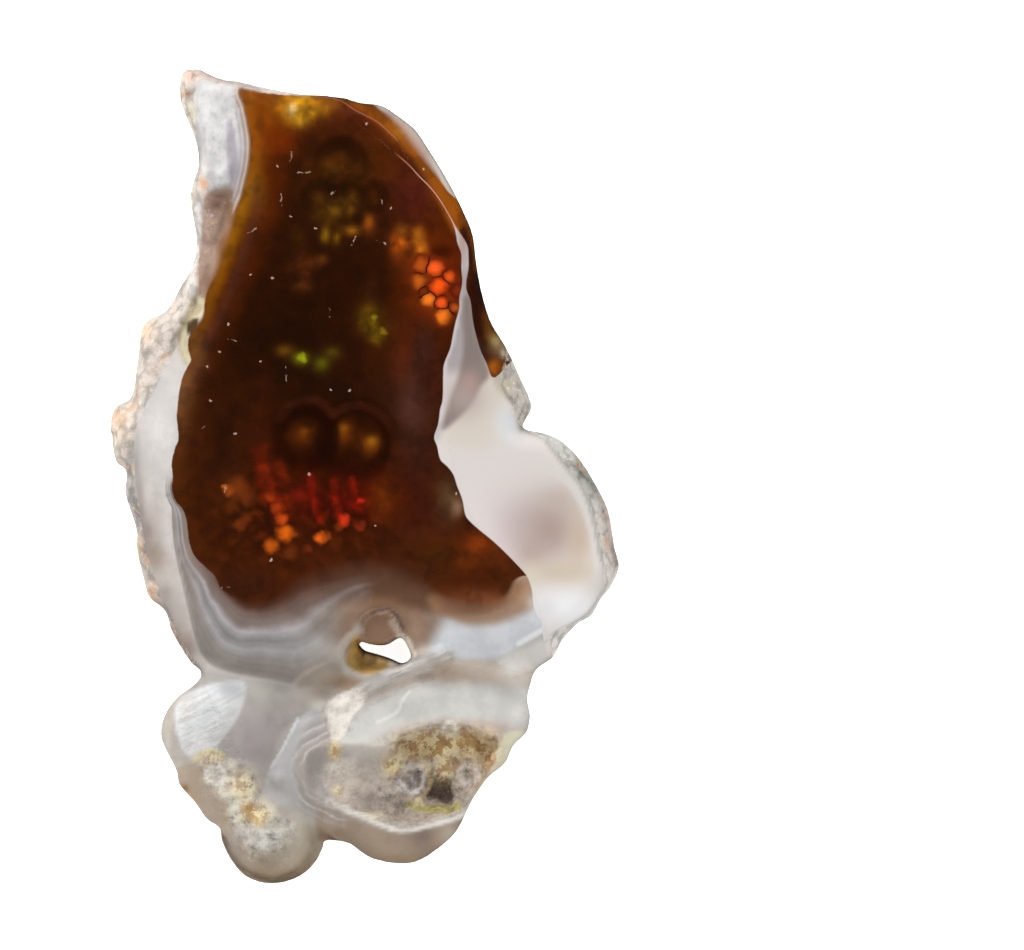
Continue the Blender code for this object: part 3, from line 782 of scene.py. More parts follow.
FACET_BASE = (219, 211, 207)
FACET_STROKES = [
    patch([(440, 440), (452, 420), (470, 392), (484, 372), (502, 366), (520, 378), (535, 408),
           (520, 432), (500, 445), (470, 450)], 1.6, (216, 206, 194), 0.85),
    dab((508, 424), (16, 22), (222, 225, 229), 0.85),
    # Grey and mauve beside the window: the brown beneath showing through, partly painted shade where
    # the facet curves away
    patch([(455, 225), (470, 245), (472, 300), (458, 345), (446, 380), (442, 430), (434, 440),
           (430, 400), (440, 330), (452, 290)], 0.9, (190, 182, 184)),
    patch([(455, 280), (480, 280), (490, 330), (480, 362), (466, 372), (440, 372), (436, 350)],
          1.2, (166, 157, 158)),
    streak([(459, 306), (455, 325), (451, 345), (444, 366), (443, 400), (440, 420)], 0.3,
           (218, 208, 208), 0.7),
    patch([(463, 300), (470, 300), (474, 325), (479, 345), (489, 374), (480, 388), (470, 406),
           (456, 421), (442, 430), (448, 405), (457, 381), (463, 352), (462, 320)],
          0.55, (132, 117, 111)),
    dab((464, 398), (22, 22), (180, 163, 157), 0.8),
    dab((469, 384), (8, 12), (184, 150, 142), 0.7),
    dab((462, 245), (5, 24), (176, 146, 136), 0.85),
    dab((459, 292), (3, 18), (204, 180, 176), 0.6),
    # The stain, its pink and tan sides and the paler band round it
    dab((520, 528), (32, 34), (192, 176, 178), 0.8),
    dab((530, 554), (18, 16), (176, 156, 148), 0.7),
    dab((550, 530), (34, 36), (168, 148, 139), 0.95),
    dab((558, 500), (20, 16), (186, 170, 158), 0.6),
    dab((578, 540), (13, 30), (192, 173, 152), 0.8),
    dab((560, 572), (40, 13), (200, 184, 164), 0.85),
    dab((530, 578), (12, 12), (212, 200, 178), 0.7),
    streak([(548, 468), (572, 488), (588, 520), (596, 556), (596, 590)], 0.45, (214, 210, 205), 0.8),
    dab((566, 608), (44, 20), (242, 242, 243), 0.97),
    dab((545, 610), (12, 14), (222, 222, 222), 0.8),
    # The rind and the grey lump on the right
    patch([(521, 428), (545, 442), (563, 466), (582, 490), (592, 520), (600, 560), (600, 592),
           (580, 618), (548, 636), (600, 640), (640, 600), (650, 520), (610, 440), (560, 420)],
          0.35, (196, 196, 188), 0.95),
    patch([(592, 510), (600, 560), (602, 600), (630, 600), (630, 520), (610, 500)], 1.4,
          (212, 203, 197), 0.85),
    streak([(545, 442), (563, 466), (582, 490), (592, 520), (600, 560)], 0.22, (168, 166, 160), 0.6),
    patch([(491, 378), (500, 370), (512, 362), (535, 370), (545, 408), (521, 430), (516, 419),
           (508, 403), (497, 390)], 0.35, (190, 182, 172), 0.95),
    dab((505, 388), (9, 9), (198, 184, 154), 0.7),
    streak([(517, 372), (529, 400), (530, 411), (520, 430)], 0.3, (172, 172, 162), 0.7),
]

STONE_BASE = (186, 180, 173)
STONE_STROKES = [
    # The white margin on the left, with its grey outer side, partly grey stone and partly painted
    # shade where it curves away
    patch([(198, 292), (206, 302), (196, 330), (200, 362), (188, 400), (184, 440), (178, 470),
           (176, 540), (184, 580), (200, 620), (212, 662), (200, 675), (180, 650), (120, 560),
           (105, 420), (150, 300)], 0.5, (198, 192, 188), 0.95),
    dab((164, 430), (16, 44), (214, 209, 206), 0.8),
    dab((172, 520), (8, 30), (206, 200, 198), 0.6),
    dab((158, 522), (10, 26), (178, 168, 162), 0.7),
    streak([(134, 434), (134, 470), (138, 505), (146, 540)], 0.7, (172, 167, 165), 0.85),
    dab((152, 556), (12, 18), (160, 144, 134), 0.85),
    patch([(150, 560), (172, 556), (184, 590), (196, 622), (207, 668), (190, 664), (166, 620),
           (150, 596)], 0.7, (192, 183, 176), 0.85),
    dab((180, 640), (8, 16), (166, 148, 136), 0.7),
    streak([(163, 616), (177, 642), (194, 668)], 0.4, (132, 108, 92)),
    streak([(150, 598), (160, 604), (170, 622)], 0.3, (150, 130, 116), 0.7),
    dab((141, 502), (5, 24), (164, 149, 138), 0.75),
    dab((149, 532), (7, 18), (156, 141, 134), 0.85),
    dab((156, 558), (11, 15), (162, 146, 132), 0.85),
    dab((166, 592), (7, 10), (172, 160, 152), 0.8),
    dab((190, 645), (7, 14), (160, 142, 132), 0.8),
    patch([(176, 500), (190, 540), (200, 560), (212, 572), (216, 590), (206, 612), (198, 626),
           (190, 600), (180, 566), (174, 530)], 0.4, (152, 137, 129), 0.95),
    streak([(177, 520), (182, 556), (188, 580), (196, 598), (206, 614)], 0.35, (120, 103, 96), 0.8),
    streak([(176, 510), (177, 545), (184, 582), (190, 610), (195, 634)], 0.2, (196, 188, 182), 0.8),
    # The left rind
    patch([(150, 300), (182, 285), (188, 300), (178, 345), (158, 380), (142, 412), (134, 440),
           (126, 470), (100, 470), (95, 400), (125, 330)], 0.5, (216, 204, 192), 0.95),
    dab((120, 425), (13, 28), (242, 222, 198), 0.8),
    dab((145, 332), (9, 13), (242, 206, 172), 0.85),
    dab((114, 412), (6, 9), (238, 184, 148), 0.8),
    dab((139, 548), (4, 14), (232, 194, 154), 0.85),
    dab((150, 592), (7, 12), (232, 188, 148), 0.85),
    dab((130, 482), (7, 34), (178, 170, 164), 0.8),
    # The chalky patch at the top left, with lavender stripes
    patch([(176, 60), (205, 66), (200, 100), (197, 135), (200, 165), (208, 190), (205, 230),
           (200, 300), (188, 300), (180, 200), (170, 110)], 0.6, (222, 212, 202), 0.95),
    patch([(197, 84), (240, 86), (243, 100), (246, 130), (243, 170), (236, 192), (222, 197),
           (211, 190), (203, 176), (198, 150)], 0.4, (206, 204, 202), 0.97),
    dab((206, 110), (7, 30), (220, 218, 216), 0.8),
    dab((228, 108), (10, 22), (194, 191, 192), 0.7),
    patch([(228, 128), (233, 124), (238, 150), (241, 180), (231, 186), (228, 160)], 0.35,
          (166, 157, 166)),
    dab((222, 178), (6, 11), (224, 226, 228)),
    dab((212, 172), (6, 14), (182, 180, 180), 0.7),
    dab((214, 140), (8, 10), (196, 194, 193), 0.6),
    dab((227, 190), (9, 4), (168, 162, 160), 0.8),
    dab((204, 170), (4, 10), (246, 238, 230), 0.8),
    dab((204, 186), (4, 5), (246, 170, 120), 0.95),
    dab((189, 79), (7, 7), (246, 200, 180)),
    dab((189, 117), (7, 16), (212, 200, 170), 0.75),
    streak([(179, 99), (184, 96), (189, 96)], 0.3, (176, 122, 84), 0.7),
    patch([(196, 66), (243, 80), (300, 92), (345, 96), (300, 99), (262, 94), (240, 89),
           (198, 80)], 0.25, (196, 178, 166)),
    streak([(246, 88), (270, 92), (300, 97)], 0.14, (226, 216, 206), 0.8),
    # The rough mauve strip below it
    patch([(205, 200), (216, 192), (236, 192), (252, 196), (246, 216), (238, 238), (230, 262),
           (222, 286), (210, 304), (200, 300), (198, 280), (199, 255), (201, 232)], 0.35,
          (166, 138, 122), 0.97),
    dab((220, 206), (16, 12), (122, 96, 82), 0.85),
    dab((234, 214), (8, 16), (138, 98, 70), 0.8),
    dab((222, 250), (7, 16), (138, 100, 76), 0.7),
    dab((238, 208), (6, 16), (160, 122, 82), 0.7),
    dab((225, 262), (5, 28), (140, 98, 52), 0.8),
    dab((211, 290), (7, 16), (124, 88, 58), 0.8),
    streak([(199, 206), (197, 238), (194, 262), (190, 288)], 0.4, (222, 218, 214)),
    patch([(194, 298), (205, 304), (206, 314), (194, 322), (188, 334), (190, 350), (196, 360),
           (186, 366), (180, 350), (180, 332), (187, 316)], 0.3, (186, 170, 136)),
    streak([(200, 300), (206, 308), (202, 316), (192, 322), (186, 332), (184, 348), (192, 364)],
           0.24, (210, 202, 168), 0.8),
    patch([(189, 323), (199, 320), (200, 332), (192, 337), (187, 331)], 0.25, (78, 56, 34), 0.95),
    # Tan round the lobe at the window's foot, then the pale blue field below it
    patch([(420, 600), (445, 612), (480, 622), (515, 610), (530, 600), (546, 626), (520, 645),
           (500, 656), (455, 660), (420, 656), (410, 630)], 0.7, (206, 208, 212), 0.95),
    dab((446, 640), (28, 12), (216, 220, 224), 0.8),
    dab((432, 602), (20, 10), (202, 178, 168), 0.8),
    patch([(440, 606), (470, 614), (500, 608), (516, 590), (522, 574), (532, 580), (534, 602),
           (520, 614), (492, 624), (458, 622)], 0.9, (158, 128, 106)),
    dab((518, 590), (12, 16), (176, 140, 108), 0.8),
    dab((531, 602), (6, 9), (200, 188, 180), 0.8),
    dab((542, 650), (16, 10), (228, 224, 219), 0.8),
    # A bright white line along a crease, a painted highlight
    streak([(518, 643), (532, 635), (545, 628), (560, 620)], 0.3, (236, 236, 236), 0.95),
    patch([(500, 660), (530, 645), (562, 625), (600, 600), (600, 660), (540, 680), (505, 672)],
          0.6, (214, 211, 206), 0.85),
    # The hollow over the hole, its rough rim and the tan round it
    patch([(285, 606), (345, 590), (420, 592), (446, 606), (430, 640), (404, 652), (350, 648),
           (330, 640), (305, 625)], 1.5, (134, 112, 96), 0.85),
    patch([(338, 600), (380, 590), (418, 600), (428, 620), (424, 646), (408, 656), (404, 640),
           (388, 648), (350, 642)], 1.2, (146, 116, 94), 0.85),
    dab((416, 634), (9, 16), (162, 136, 116), 0.8),
    dab((422, 650), (9, 8), (204, 190, 178), 0.8),
    patch([(240, 560), (440, 560), (444, 600), (430, 610), (406, 606), (380, 602), (350, 602),
           (318, 606), (298, 612), (250, 610)], 1.2, (96, 66, 48), 0.92),
    patch([(436, 590), (520, 580), (508, 606), (486, 616), (452, 616), (432, 610)], 0.8,
          (146, 108, 82)),
    patch([(356, 648), (352, 634), (360, 616), (374, 608), (388, 607), (396, 616), (402, 630),
           (404, 642), (388, 648), (368, 648)], 0.35, (148, 116, 94), 0.95),
    # A small painted highlight left of the hollow
    dab((358, 627), (5, 6), (190, 188, 176), 0.8),
    dab((378, 602), (22, 8), (132, 98, 74), 0.8),
    streak([(372, 613), (380, 609), (390, 610), (398, 618), (402, 628)], 0.16, (104, 78, 70), 0.8),
    streak([(378, 612), (388, 613), (394, 618), (398, 628)], 0.14, (190, 160, 150), 0.7),
    streak([(392, 622), (400, 634), (408, 646)], 0.4, (204, 190, 174), 0.7),
    streak([(337, 652), (346, 642), (354, 633), (360, 630)], 0.4, (190, 178, 164), 0.8),
    patch([(350, 666), (346, 657), (351, 645), (358, 636), (364, 650), (378, 655), (396, 661),
           (384, 669), (367, 674)], 0.3, (182, 144, 82), 0.95),
    dab((368, 662), (10, 6), (216, 174, 110), 0.7),
    dab((355, 645), (4, 7), (170, 132, 52), 0.8),
    dab((358, 664), (9, 5), (186, 158, 74), 0.7),
    # A dark line in the crease at the hole's left edge, painted shade
    streak([(358, 640), (361, 648), (364, 656)], 0.18, (112, 66, 30), 0.85),
    streak([(366, 655), (378, 659), (394, 662)], 0.25, (216, 184, 130), 0.8),
    # A pale line round the hole's right rim, painted light over the shade of the hole's wall
    streak([(392, 662), (403, 666), (412, 658), (408, 644), (401, 637)], 0.45, (236, 226, 210)),
    patch([(296, 690), (304, 672), (322, 664), (340, 660), (346, 676), (364, 679), (348, 690),
           (320, 696)], 0.6, (154, 142, 128)),
    dab((344, 682), (18, 8), (146, 118, 92), 0.8),
    streak([(290, 680), (312, 668), (332, 654), (348, 634)], 0.3, (186, 172, 158), 0.6),
    # The clear outer rim at the top right
    patch([(356, 90), (366, 104), (404, 136), (430, 180), (446, 204), (480, 214), (480, 150),
           (430, 90)], 0.4, (226, 214, 203), 0.97),
    # The left lobe: a white flat with grain, mauve beside it and a pale rim
    patch([(200, 672), (300, 686), (345, 694), (330, 760), (280, 800), (230, 760), (165, 780),
           (150, 720), (180, 680)], 0.6, (178, 171, 166)),
    patch([(170, 690), (182, 690), (176, 720), (180, 750), (196, 766), (178, 776), (158, 750),
           (154, 718)], 0.6, (192, 182, 170), 0.85),
    patch([(178, 702), (200, 687), (238, 680), (247, 690), (239, 716), (223, 738), (211, 752),
           (196, 759), (183, 748), (176, 725)], 0.35, (226, 228, 228), 0.95),
    dab((232, 688), (16, 9), (184, 189, 190), 0.85),
    dab((214, 710), (14, 7), (200, 205, 205), 0.6),
    dab((186, 706), (6, 18), (218, 215, 210), 0.85),
    dab((198, 748), (14, 12), (216, 209, 209), 0.7),
    dab((252, 738), (26, 30), (163, 153, 152), 0.85),
    dab((282, 716), (18, 24), (158, 150, 146), 0.8),
    dab((272, 692), (26, 10), (184, 180, 170), 0.8),
    dab((302, 702), (16, 10), (158, 149, 139), 0.7),
    dab((322, 692), (14, 8), (152, 134, 116), 0.7),
    dab((168, 742), (4, 14), (220, 214, 200), 0.7),
    patch([(297, 720), (322, 704), (312, 745), (303, 782), (306, 800), (288, 806), (266, 790),
           (270, 768), (284, 744)], 0.25, (190, 188, 187), 0.95),
    streak([(298, 718), (286, 742), (272, 766)], 0.16, (218, 216, 214), 0.8),
    dab((276, 786), (14, 12), (178, 171, 168), 0.7),
    # Its foot, the crust and the ball below
    patch([(176, 770), (204, 764), (228, 800), (236, 830), (214, 834), (190, 800), (170, 790)],
          0.7, (176, 156, 134)),
    dab((193, 802), (5, 12), (196, 150, 108), 0.7),
    dab((218, 790), (10, 14), (164, 150, 138), 0.7),
    patch([(220, 826), (262, 850), (322, 816), (330, 850), (300, 890), (240, 890), (212, 850)],
          0.9, (176, 162, 144)),
    # Painted shade on the ball: darker low down and at its left, lighter at its top and right
    dab((262, 862), (24, 14), (150, 131, 112), 0.7),
    dab((276, 874), (46, 10), (160, 136, 108), 0.8),
    dab((306, 858), (14, 16), (192, 174, 150), 0.85),
    dab((300, 828), (18, 20), (196, 188, 172), 0.75),
    dab((240, 852), (12, 14), (164, 148, 132), 0.7),
    patch([(206, 757), (222, 752), (238, 768), (256, 778), (262, 800), (272, 815), (288, 824),
           (284, 842), (262, 852), (248, 842), (238, 828), (228, 810), (218, 792), (206, 778)],
          0.9, (204, 197, 184), 0.6),
    streak([(196, 758), (204, 752), (214, 751), (222, 756)], 0.3, (226, 216, 166), 0.85),
    ring((216, 774), 9, 0.25, (222, 218, 210), 0.8),
    ring((228, 788), 7, 0.22, (220, 214, 204), 0.7),
    dab((243, 788), (14, 15), (234, 224, 198), 0.85),
    dab((236, 812), (6, 16), (232, 232, 222), 0.85),
    dab((256, 815), (11, 7), (244, 218, 160), 0.95),
    dab((248, 806), (5, 4), (240, 190, 96), 0.8),
    dab((262, 822), (5, 3), (236, 186, 110), 0.7),
    dab((266, 838), (14, 12), (214, 212, 204), 0.8),
    dab((185, 788), (4, 4), (150, 98, 40), 0.97),
    # The chalk lump, the fibrous ledge and the pale band above the pocket
    patch([(345, 694), (380, 672), (410, 658), (450, 652), (450, 668), (400, 686), (356, 704)],
          0.4, (212, 204, 196), 0.95),
    # Along the ledge: a light line on its top, painted light, and a dark line under it, painted
    # shadow
    streak([(349, 697), (376, 682), (404, 668), (434, 656), (446, 656)], 0.4, (234, 229, 222), 0.85),
    streak([(362, 700), (384, 690), (412, 679), (446, 671)], 0.4, (162, 144, 130), 0.7),
    patch([(440, 660), (500, 664), (528, 668), (530, 684), (470, 686), (436, 682)], 0.7,
          (204, 188, 172)),
    dab((450, 672), (16, 6), (186, 162, 138), 0.8),
    dab((512, 668), (14, 10), (232, 228, 224), 0.85),
    patch([(340, 745), (358, 716), (384, 700), (420, 686), (470, 682), (528, 690), (534, 712),
           (520, 728), (480, 722), (440, 718), (402, 724), (372, 740)], 0.8, (206, 205, 201), 0.95),
    dab((404, 704), (44, 16), (190, 188, 183), 0.85),
    dab((520, 708), (14, 16), (228, 225, 219), 0.8),
    dab((518, 682), (14, 8), (214, 206, 196), 0.8),
    streak([(376, 722), (396, 712), (402, 700), (410, 690)], 0.16, (228, 226, 222), 0.7),
    dab((474, 726), (50, 7), (196, 178, 168), 0.8),
    patch([(322, 712), (336, 694), (350, 688), (352, 700), (340, 720), (336, 744), (322, 750)],
          0.5, (158, 142, 130), 0.8),
    patch([(326, 704), (340, 693), (362, 688), (365, 700), (353, 716), (343, 736), (332, 739),
           (328, 722)], 0.2, (236, 229, 219), 0.97),
    dab((318, 705), (8, 6), (214, 206, 192), 0.7),
    # Where the layers peel off at the pocket's left
    patch([(318, 712), (300, 740), (296, 780), (312, 812), (340, 832), (352, 822), (330, 800),
           (322, 770), (326, 740)], 0.4, (176, 169, 165)),
    # The pocket: grey on the left, brown and cream above, with dark cells and an olive line
    patch([(330, 752), (357, 750), (385, 750), (402, 734), (440, 722), (474, 727), (498, 742),
           (490, 766), (477, 790), (465, 808), (438, 818), (404, 824), (368, 815), (340, 803),
           (326, 780)], 1.0, (184, 170, 156), 0.95),
    dab((360, 752), (30, 16), (204, 199, 193)),
    dab((346, 774), (12, 10), (208, 199, 186), 0.7),
    dab((344, 792), (10, 10), (206, 196, 184), 0.7),
    dab((384, 758), (13, 8), (198, 186, 170), 0.7),
    dab((366, 780), (22, 12), (180, 168, 156), 0.7),
    dab((362, 800), (24, 8), (168, 158, 150), 0.7),
    dab((385, 772), (10, 12), (196, 190, 186), 0.7),
    dab((408, 746), (13, 13), (156, 122, 78)),
    dab((432, 744), (12, 10), (170, 134, 82), 0.85),
    dab((468, 742), (28, 14), (176, 132, 74)),
    dab((490, 758), (9, 20), (190, 142, 96)),
    dab((480, 786), (9, 16), (186, 158, 128), 0.8),
    dab((425, 742), (7, 6), (232, 212, 152)),
    dab((441, 752), (7, 10), (230, 206, 146)),
    dab((446, 768), (6, 9), (226, 204, 156), 0.85),
    dab((470, 748), (6, 7), (222, 194, 138), 0.85),
    dab((455, 742), (7, 5), (214, 186, 120), 0.8),
    ring((449, 729), 6.5, 0.3, (232, 228, 216)),
    dab((458, 764), (7, 7), (150, 122, 92), 0.8),
    ring((468, 773), 9, 0.32, (214, 204, 198), 0.85),
    dab((413, 778), (11, 10), (118, 104, 104), 0.95),
    ring((412, 778), 13, 0.34, (222, 216, 210)),
    ring((404, 782), 9, 0.2, (204, 196, 190), 0.7),
    patch([(427, 772), (436, 769), (446, 778), (452, 788), (457, 797), (446, 801), (434, 799),
           (426, 792)], 0.3, (92, 74, 67), 0.97),
    streak([(424, 766), (430, 776), (426, 792), (416, 800)], 0.26, (226, 206, 160), 0.85),
    streak([(434, 770), (448, 780), (456, 794)], 0.18, (206, 196, 184), 0.8),
    dab((391, 766), (8, 9), (244, 218, 156), 0.95),
    dab((399, 756), (5, 5), (232, 216, 180), 0.8),
    dab((335, 750), (6, 9), (240, 212, 150)),
    dab((334, 766), (6, 6), (226, 222, 208), 0.8),
    dab((337, 790), (6, 5), (222, 212, 176), 0.75),
    dab((372, 816), (9, 4), (226, 212, 166), 0.85),
    dab((388, 804), (24, 5), (142, 130, 122), 0.75),
    streak([(409, 804), (432, 808), (458, 806)], 0.4, (178, 166, 98)),
    # The skin of the lobe outside the pocket
    patch([(318, 806), (360, 820), (404, 832), (450, 822), (480, 812), (470, 860), (400, 880),
           (330, 860)], 0.5, (160, 138, 116)),
    dab((338, 832), (16, 12), (158, 134, 110), 0.85),
    dab((400, 858), (50, 8), (150, 126, 100), 0.7),
    dab((424, 836), (12, 14), (132, 112, 100), 0.8),
    dab((450, 838), (9, 14), (190, 180, 168), 0.8),
    # A pale line along the pocket's lower lip, a painted highlight
    streak([(326, 801), (365, 816), (400, 829), (440, 821), (472, 812)], 0.28, (232, 226, 216), 0.95),
    patch([(500, 738), (514, 730), (530, 736), (520, 756), (500, 780), (488, 778), (494, 760)],
          0.4, (220, 214, 186)),
]

# Where the brown is made of small grape-like cells
GRAPES = [
    dab((345, 205), (34, 50), None, 0.75),
    dab((306, 275), (26, 24), None, 0.75),
    dab((262, 515), (50, 52), None, 1.0),
    dab((335, 515), (56, 34), None),
    dab((405, 246), (22, 18), None, 0.8),
    dab((304, 112), (34, 18), None, 0.7),
    dab((372, 328), (16, 22), None, 0.8),
    dab((480, 556), (36, 20), None, 0.4),
]

# Fire cells of the honeycomb, each as centre, radius and colour
HONEYCOMB = [
    ((439, 287), 11.0, (255, 84, 8)),
    ((435, 268), 10.5, (250, 92, 24)),
    ((450, 277), 8.0, (226, 84, 14)),
    ((421, 265), 10.5, (178, 76, 12)),
    ((419, 282), 9.5, (190, 88, 16)),
    ((429, 300), 9.0, (244, 122, 26)),
    ((442, 304), 7.5, (238, 84, 16)),
    ((443, 316), 9.5, (240, 118, 22)),
    ((457, 291), 7.0, (120, 38, 8)),
    ((454, 308), 7.0, (170, 74, 20)),
    ((424, 292), 6.0, (110, 42, 8)),
]

# Lone fire spots: centre, radius, colour and strength
FIRE_SPOTS = [
    ((286, 533), 8.5, (222, 96, 6), 0.95),
    ((272, 546), 7.5, (196, 88, 10), 0.85),
    ((282, 519), 5.5, (206, 74, 12), 0.85),
    ((291, 552), 7.0, (116, 50, 12), 0.6),
    ((321, 538), 5.5, (232, 98, 12), 0.95),
    ((328, 536), 5.0, (150, 62, 12), 0.7),
    ((344, 521), 6.0, (214, 52, 14), 0.9),
    ((338, 527), 5.0, (136, 52, 14), 0.6),
    ((361, 501), 4.0, (196, 34, 14), 0.8),
    ((361, 526), 5.0, (136, 40, 14), 0.7),
    ((270, 497), 6.0, (172, 56, 8), 0.7),
    ((278, 508), 6.0, (180, 60, 10), 0.7),
    ((300, 495), 9.0, (128, 24, 6), 0.6),
    ((238, 488), 12.0, (118, 50, 10), 0.85),
    ((230, 490), 6.0, (150, 68, 12), 0.8),
    ((227, 486), 3.0, (190, 98, 26), 0.7),
    ((246, 518), 6.5, (110, 44, 8), 0.7),
    ((308, 548), 5.0, (120, 44, 8), 0.7),
    ((249, 497), 8.0, (112, 46, 12), 0.6),
    ((241, 524), 6.0, (116, 48, 12), 0.7),
    ((302, 358), 4.0, (150, 158, 16), 0.8),
    ((375, 318), 3.0, (150, 128, 14), 0.6),
    ((382, 332), 3.5, (144, 116, 18), 0.6),
]

# Dust and small scratches in the polish
SPECKS = [
    (278, 167), (291, 217), (316, 229), (391, 209), (385, 244), (251, 275), (273, 278),
    (229, 324), (367, 125), (424, 170), (350, 391), (331, 390), (310, 474), (376, 526),
    (456, 493), (236, 434), (220, 352), (261, 362), (208, 367), (211, 401), (272, 560),
]
SCRATCHES = [
    [(291, 153), (293, 158), (290, 162)],
    [(298, 174), (312, 173)],
    [(281, 195), (282, 205)],
    [(330, 196), (335, 192)],
    [(379, 195), (383, 205)],
    [(352, 245), (356, 237)],
    [(249, 233), (256, 229)],
    [(376, 239), (382, 244)],
    [(330, 306), (330, 317)],
    [(229, 339), (237, 341)],
    [(286, 367), (287, 381)],
    [(203, 428), (206, 425)],
    [(225, 492), (227, 487)],
    [(221, 589), (225, 586), (230, 587)],
    [(323, 594), (326, 587)],
]

# Where the surface is crumbly, gilded, fibrous, banded, worn smooth, layered or thinly banded
CRUMBLY = [
    patch([(204, 750), (226, 748), (258, 774), (266, 806), (294, 820), (292, 842), (258, 860),
           (238, 846), (224, 810), (202, 774)], 0.6, None),
    patch([(388, 752), (402, 732), (440, 722), (476, 726), (500, 740), (494, 766), (480, 790),
           (468, 812), (438, 818), (404, 826), (380, 818), (376, 780)], 1.0, None, 1.0),
    patch([(330, 744), (346, 752), (360, 766), (390, 764), (396, 822), (368, 817), (332, 804),
           (316, 780)], 1.2, None, 0.6),
    patch([(320, 706), (340, 690), (366, 686), (366, 702), (346, 738), (326, 740)], 0.3, None, 0.4),
    patch([(205, 196), (240, 194), (232, 236), (208, 304), (198, 298)], 0.4, None, 0.25),
    patch([(176, 64), (240, 82), (242, 120), (232, 150), (232, 190), (204, 200), (190, 200)],
          0.4, None, 0.35),
    patch([(240, 82), (345, 94), (345, 99), (300, 100), (240, 92)], 0.3, None, 0.5),
    dab((498, 348), (9, 14), None, 0.8),
    streak([(380, 610), (390, 611), (399, 619), (404, 634), (412, 650)], 0.45, None, 0.5),
]
GILDED = [
    dab((436, 746), (44, 18), None),
    dab((478, 748), (22, 18), None, 0.7),
    dab((444, 768), (12, 16), None),
    dab((394, 766), (11, 12), None),
    dab((335, 750), (6, 9), None, 0.8),
    dab((338, 790), (5, 5), None, 0.5),
    dab((243, 786), (15, 18), None, 0.75),
    dab((254, 812), (20, 12), None, 0.85),
    dab((212, 758), (14, 7), None, 0.7),
]
FIBROUS = [
    patch([(356, 700), (366, 682), (384, 670), (412, 656), (446, 648), (456, 660), (440, 678),
           (400, 692), (372, 704)], 0.5, None),
    patch([(440, 660), (500, 664), (528, 668), (530, 676), (470, 680), (436, 682)], 0.8, None, 0.3),
    patch([(178, 702), (200, 687), (238, 680), (247, 690), (223, 738), (196, 758), (178, 730)],
          0.5, None, 0.5),
]
BANDED = [
    patch(BANDS_END + [(360, 560), (250, 560), (190, 500)], 2.4, None, 2.0),
]
WORN = [
    patch([(205, 192), (252, 192), (246, 216), (230, 262), (210, 306), (197, 300), (197, 240)],
          0.5, None, 0.93),
    patch([(199, 84), (246, 84), (250, 150), (240, 196), (208, 192), (200, 150)], 0.5, None, 0.85),
]
BANDS_FADE = [
    dab((364, 628), (54, 70), None, 1.0),
    dab((380, 590), (34, 34), None, 1.0),
    dab((190, 560), (14, 50), None, 0.5),
    patch([(296, 690), (304, 672), (340, 658), (352, 690)], 0.6, None, 1.0),
]
LAYERED = [
    patch([(324, 708), (308, 720), (292, 748), (288, 784), (300, 806), (326, 822), (344, 822),
           (344, 804), (334, 800), (320, 780), (322, 752), (330, 736)], 1.4, None, 1.0),
]
THINLY_BANDED = [
    patch([(236, 92), (262, 94), (262, 150), (260, 200), (236, 216), (234, 196), (240, 150)],
          0.4, None, 1.0),
]


def as_light(colour):
    """Turn screen colours of 0 to 1 into amounts of light."""
    return np.where(colour <= 0.04045, colour / 12.92, ((colour + 0.055) / 1.055) ** 2.4)


def painted(x, y, base, strokes):
    """Lay the strokes over one base colour, or one for each point, as screen colours of 0 to 1."""
    paint = np.ones((len(x), 1)) * np.array(base) / 255.0
    for mask, colour in strokes:
        paint += (np.array(colour) / 255.0 - paint) * mask(x, y)[:, None]
    return paint


def covered(x, y, strokes):
    """How far any of the strokes covers each point, from 0 to 1."""
    cover = np.zeros(len(x))
    for mask, _ in strokes:
        cover = np.maximum(cover, mask(x, y))
    return np.minimum(cover, 1.0)


def window_paint(x, y, inside):
    """Colours of the brown window, tinted along its left border."""
    pixel_y = PHOTO_CENTRE[1] - y / SCALE
    heights = list(EDGE_TINTS)
    tints = zip(*EDGE_TINTS.values())
    tint = np.column_stack([np.interp(pixel_y, heights, channel) for channel in tints])
    cover = smooth_step(*EDGE_TINT_WIDTH, inside)[:, None]
    paint = painted(x, y, WINDOW_BASE + (tint - WINDOW_BASE) * cover, WINDOW_STROKES)
    return np.clip(paint - np.array(POLISH_SHINE) / 255.0, 0.0, 1.0)


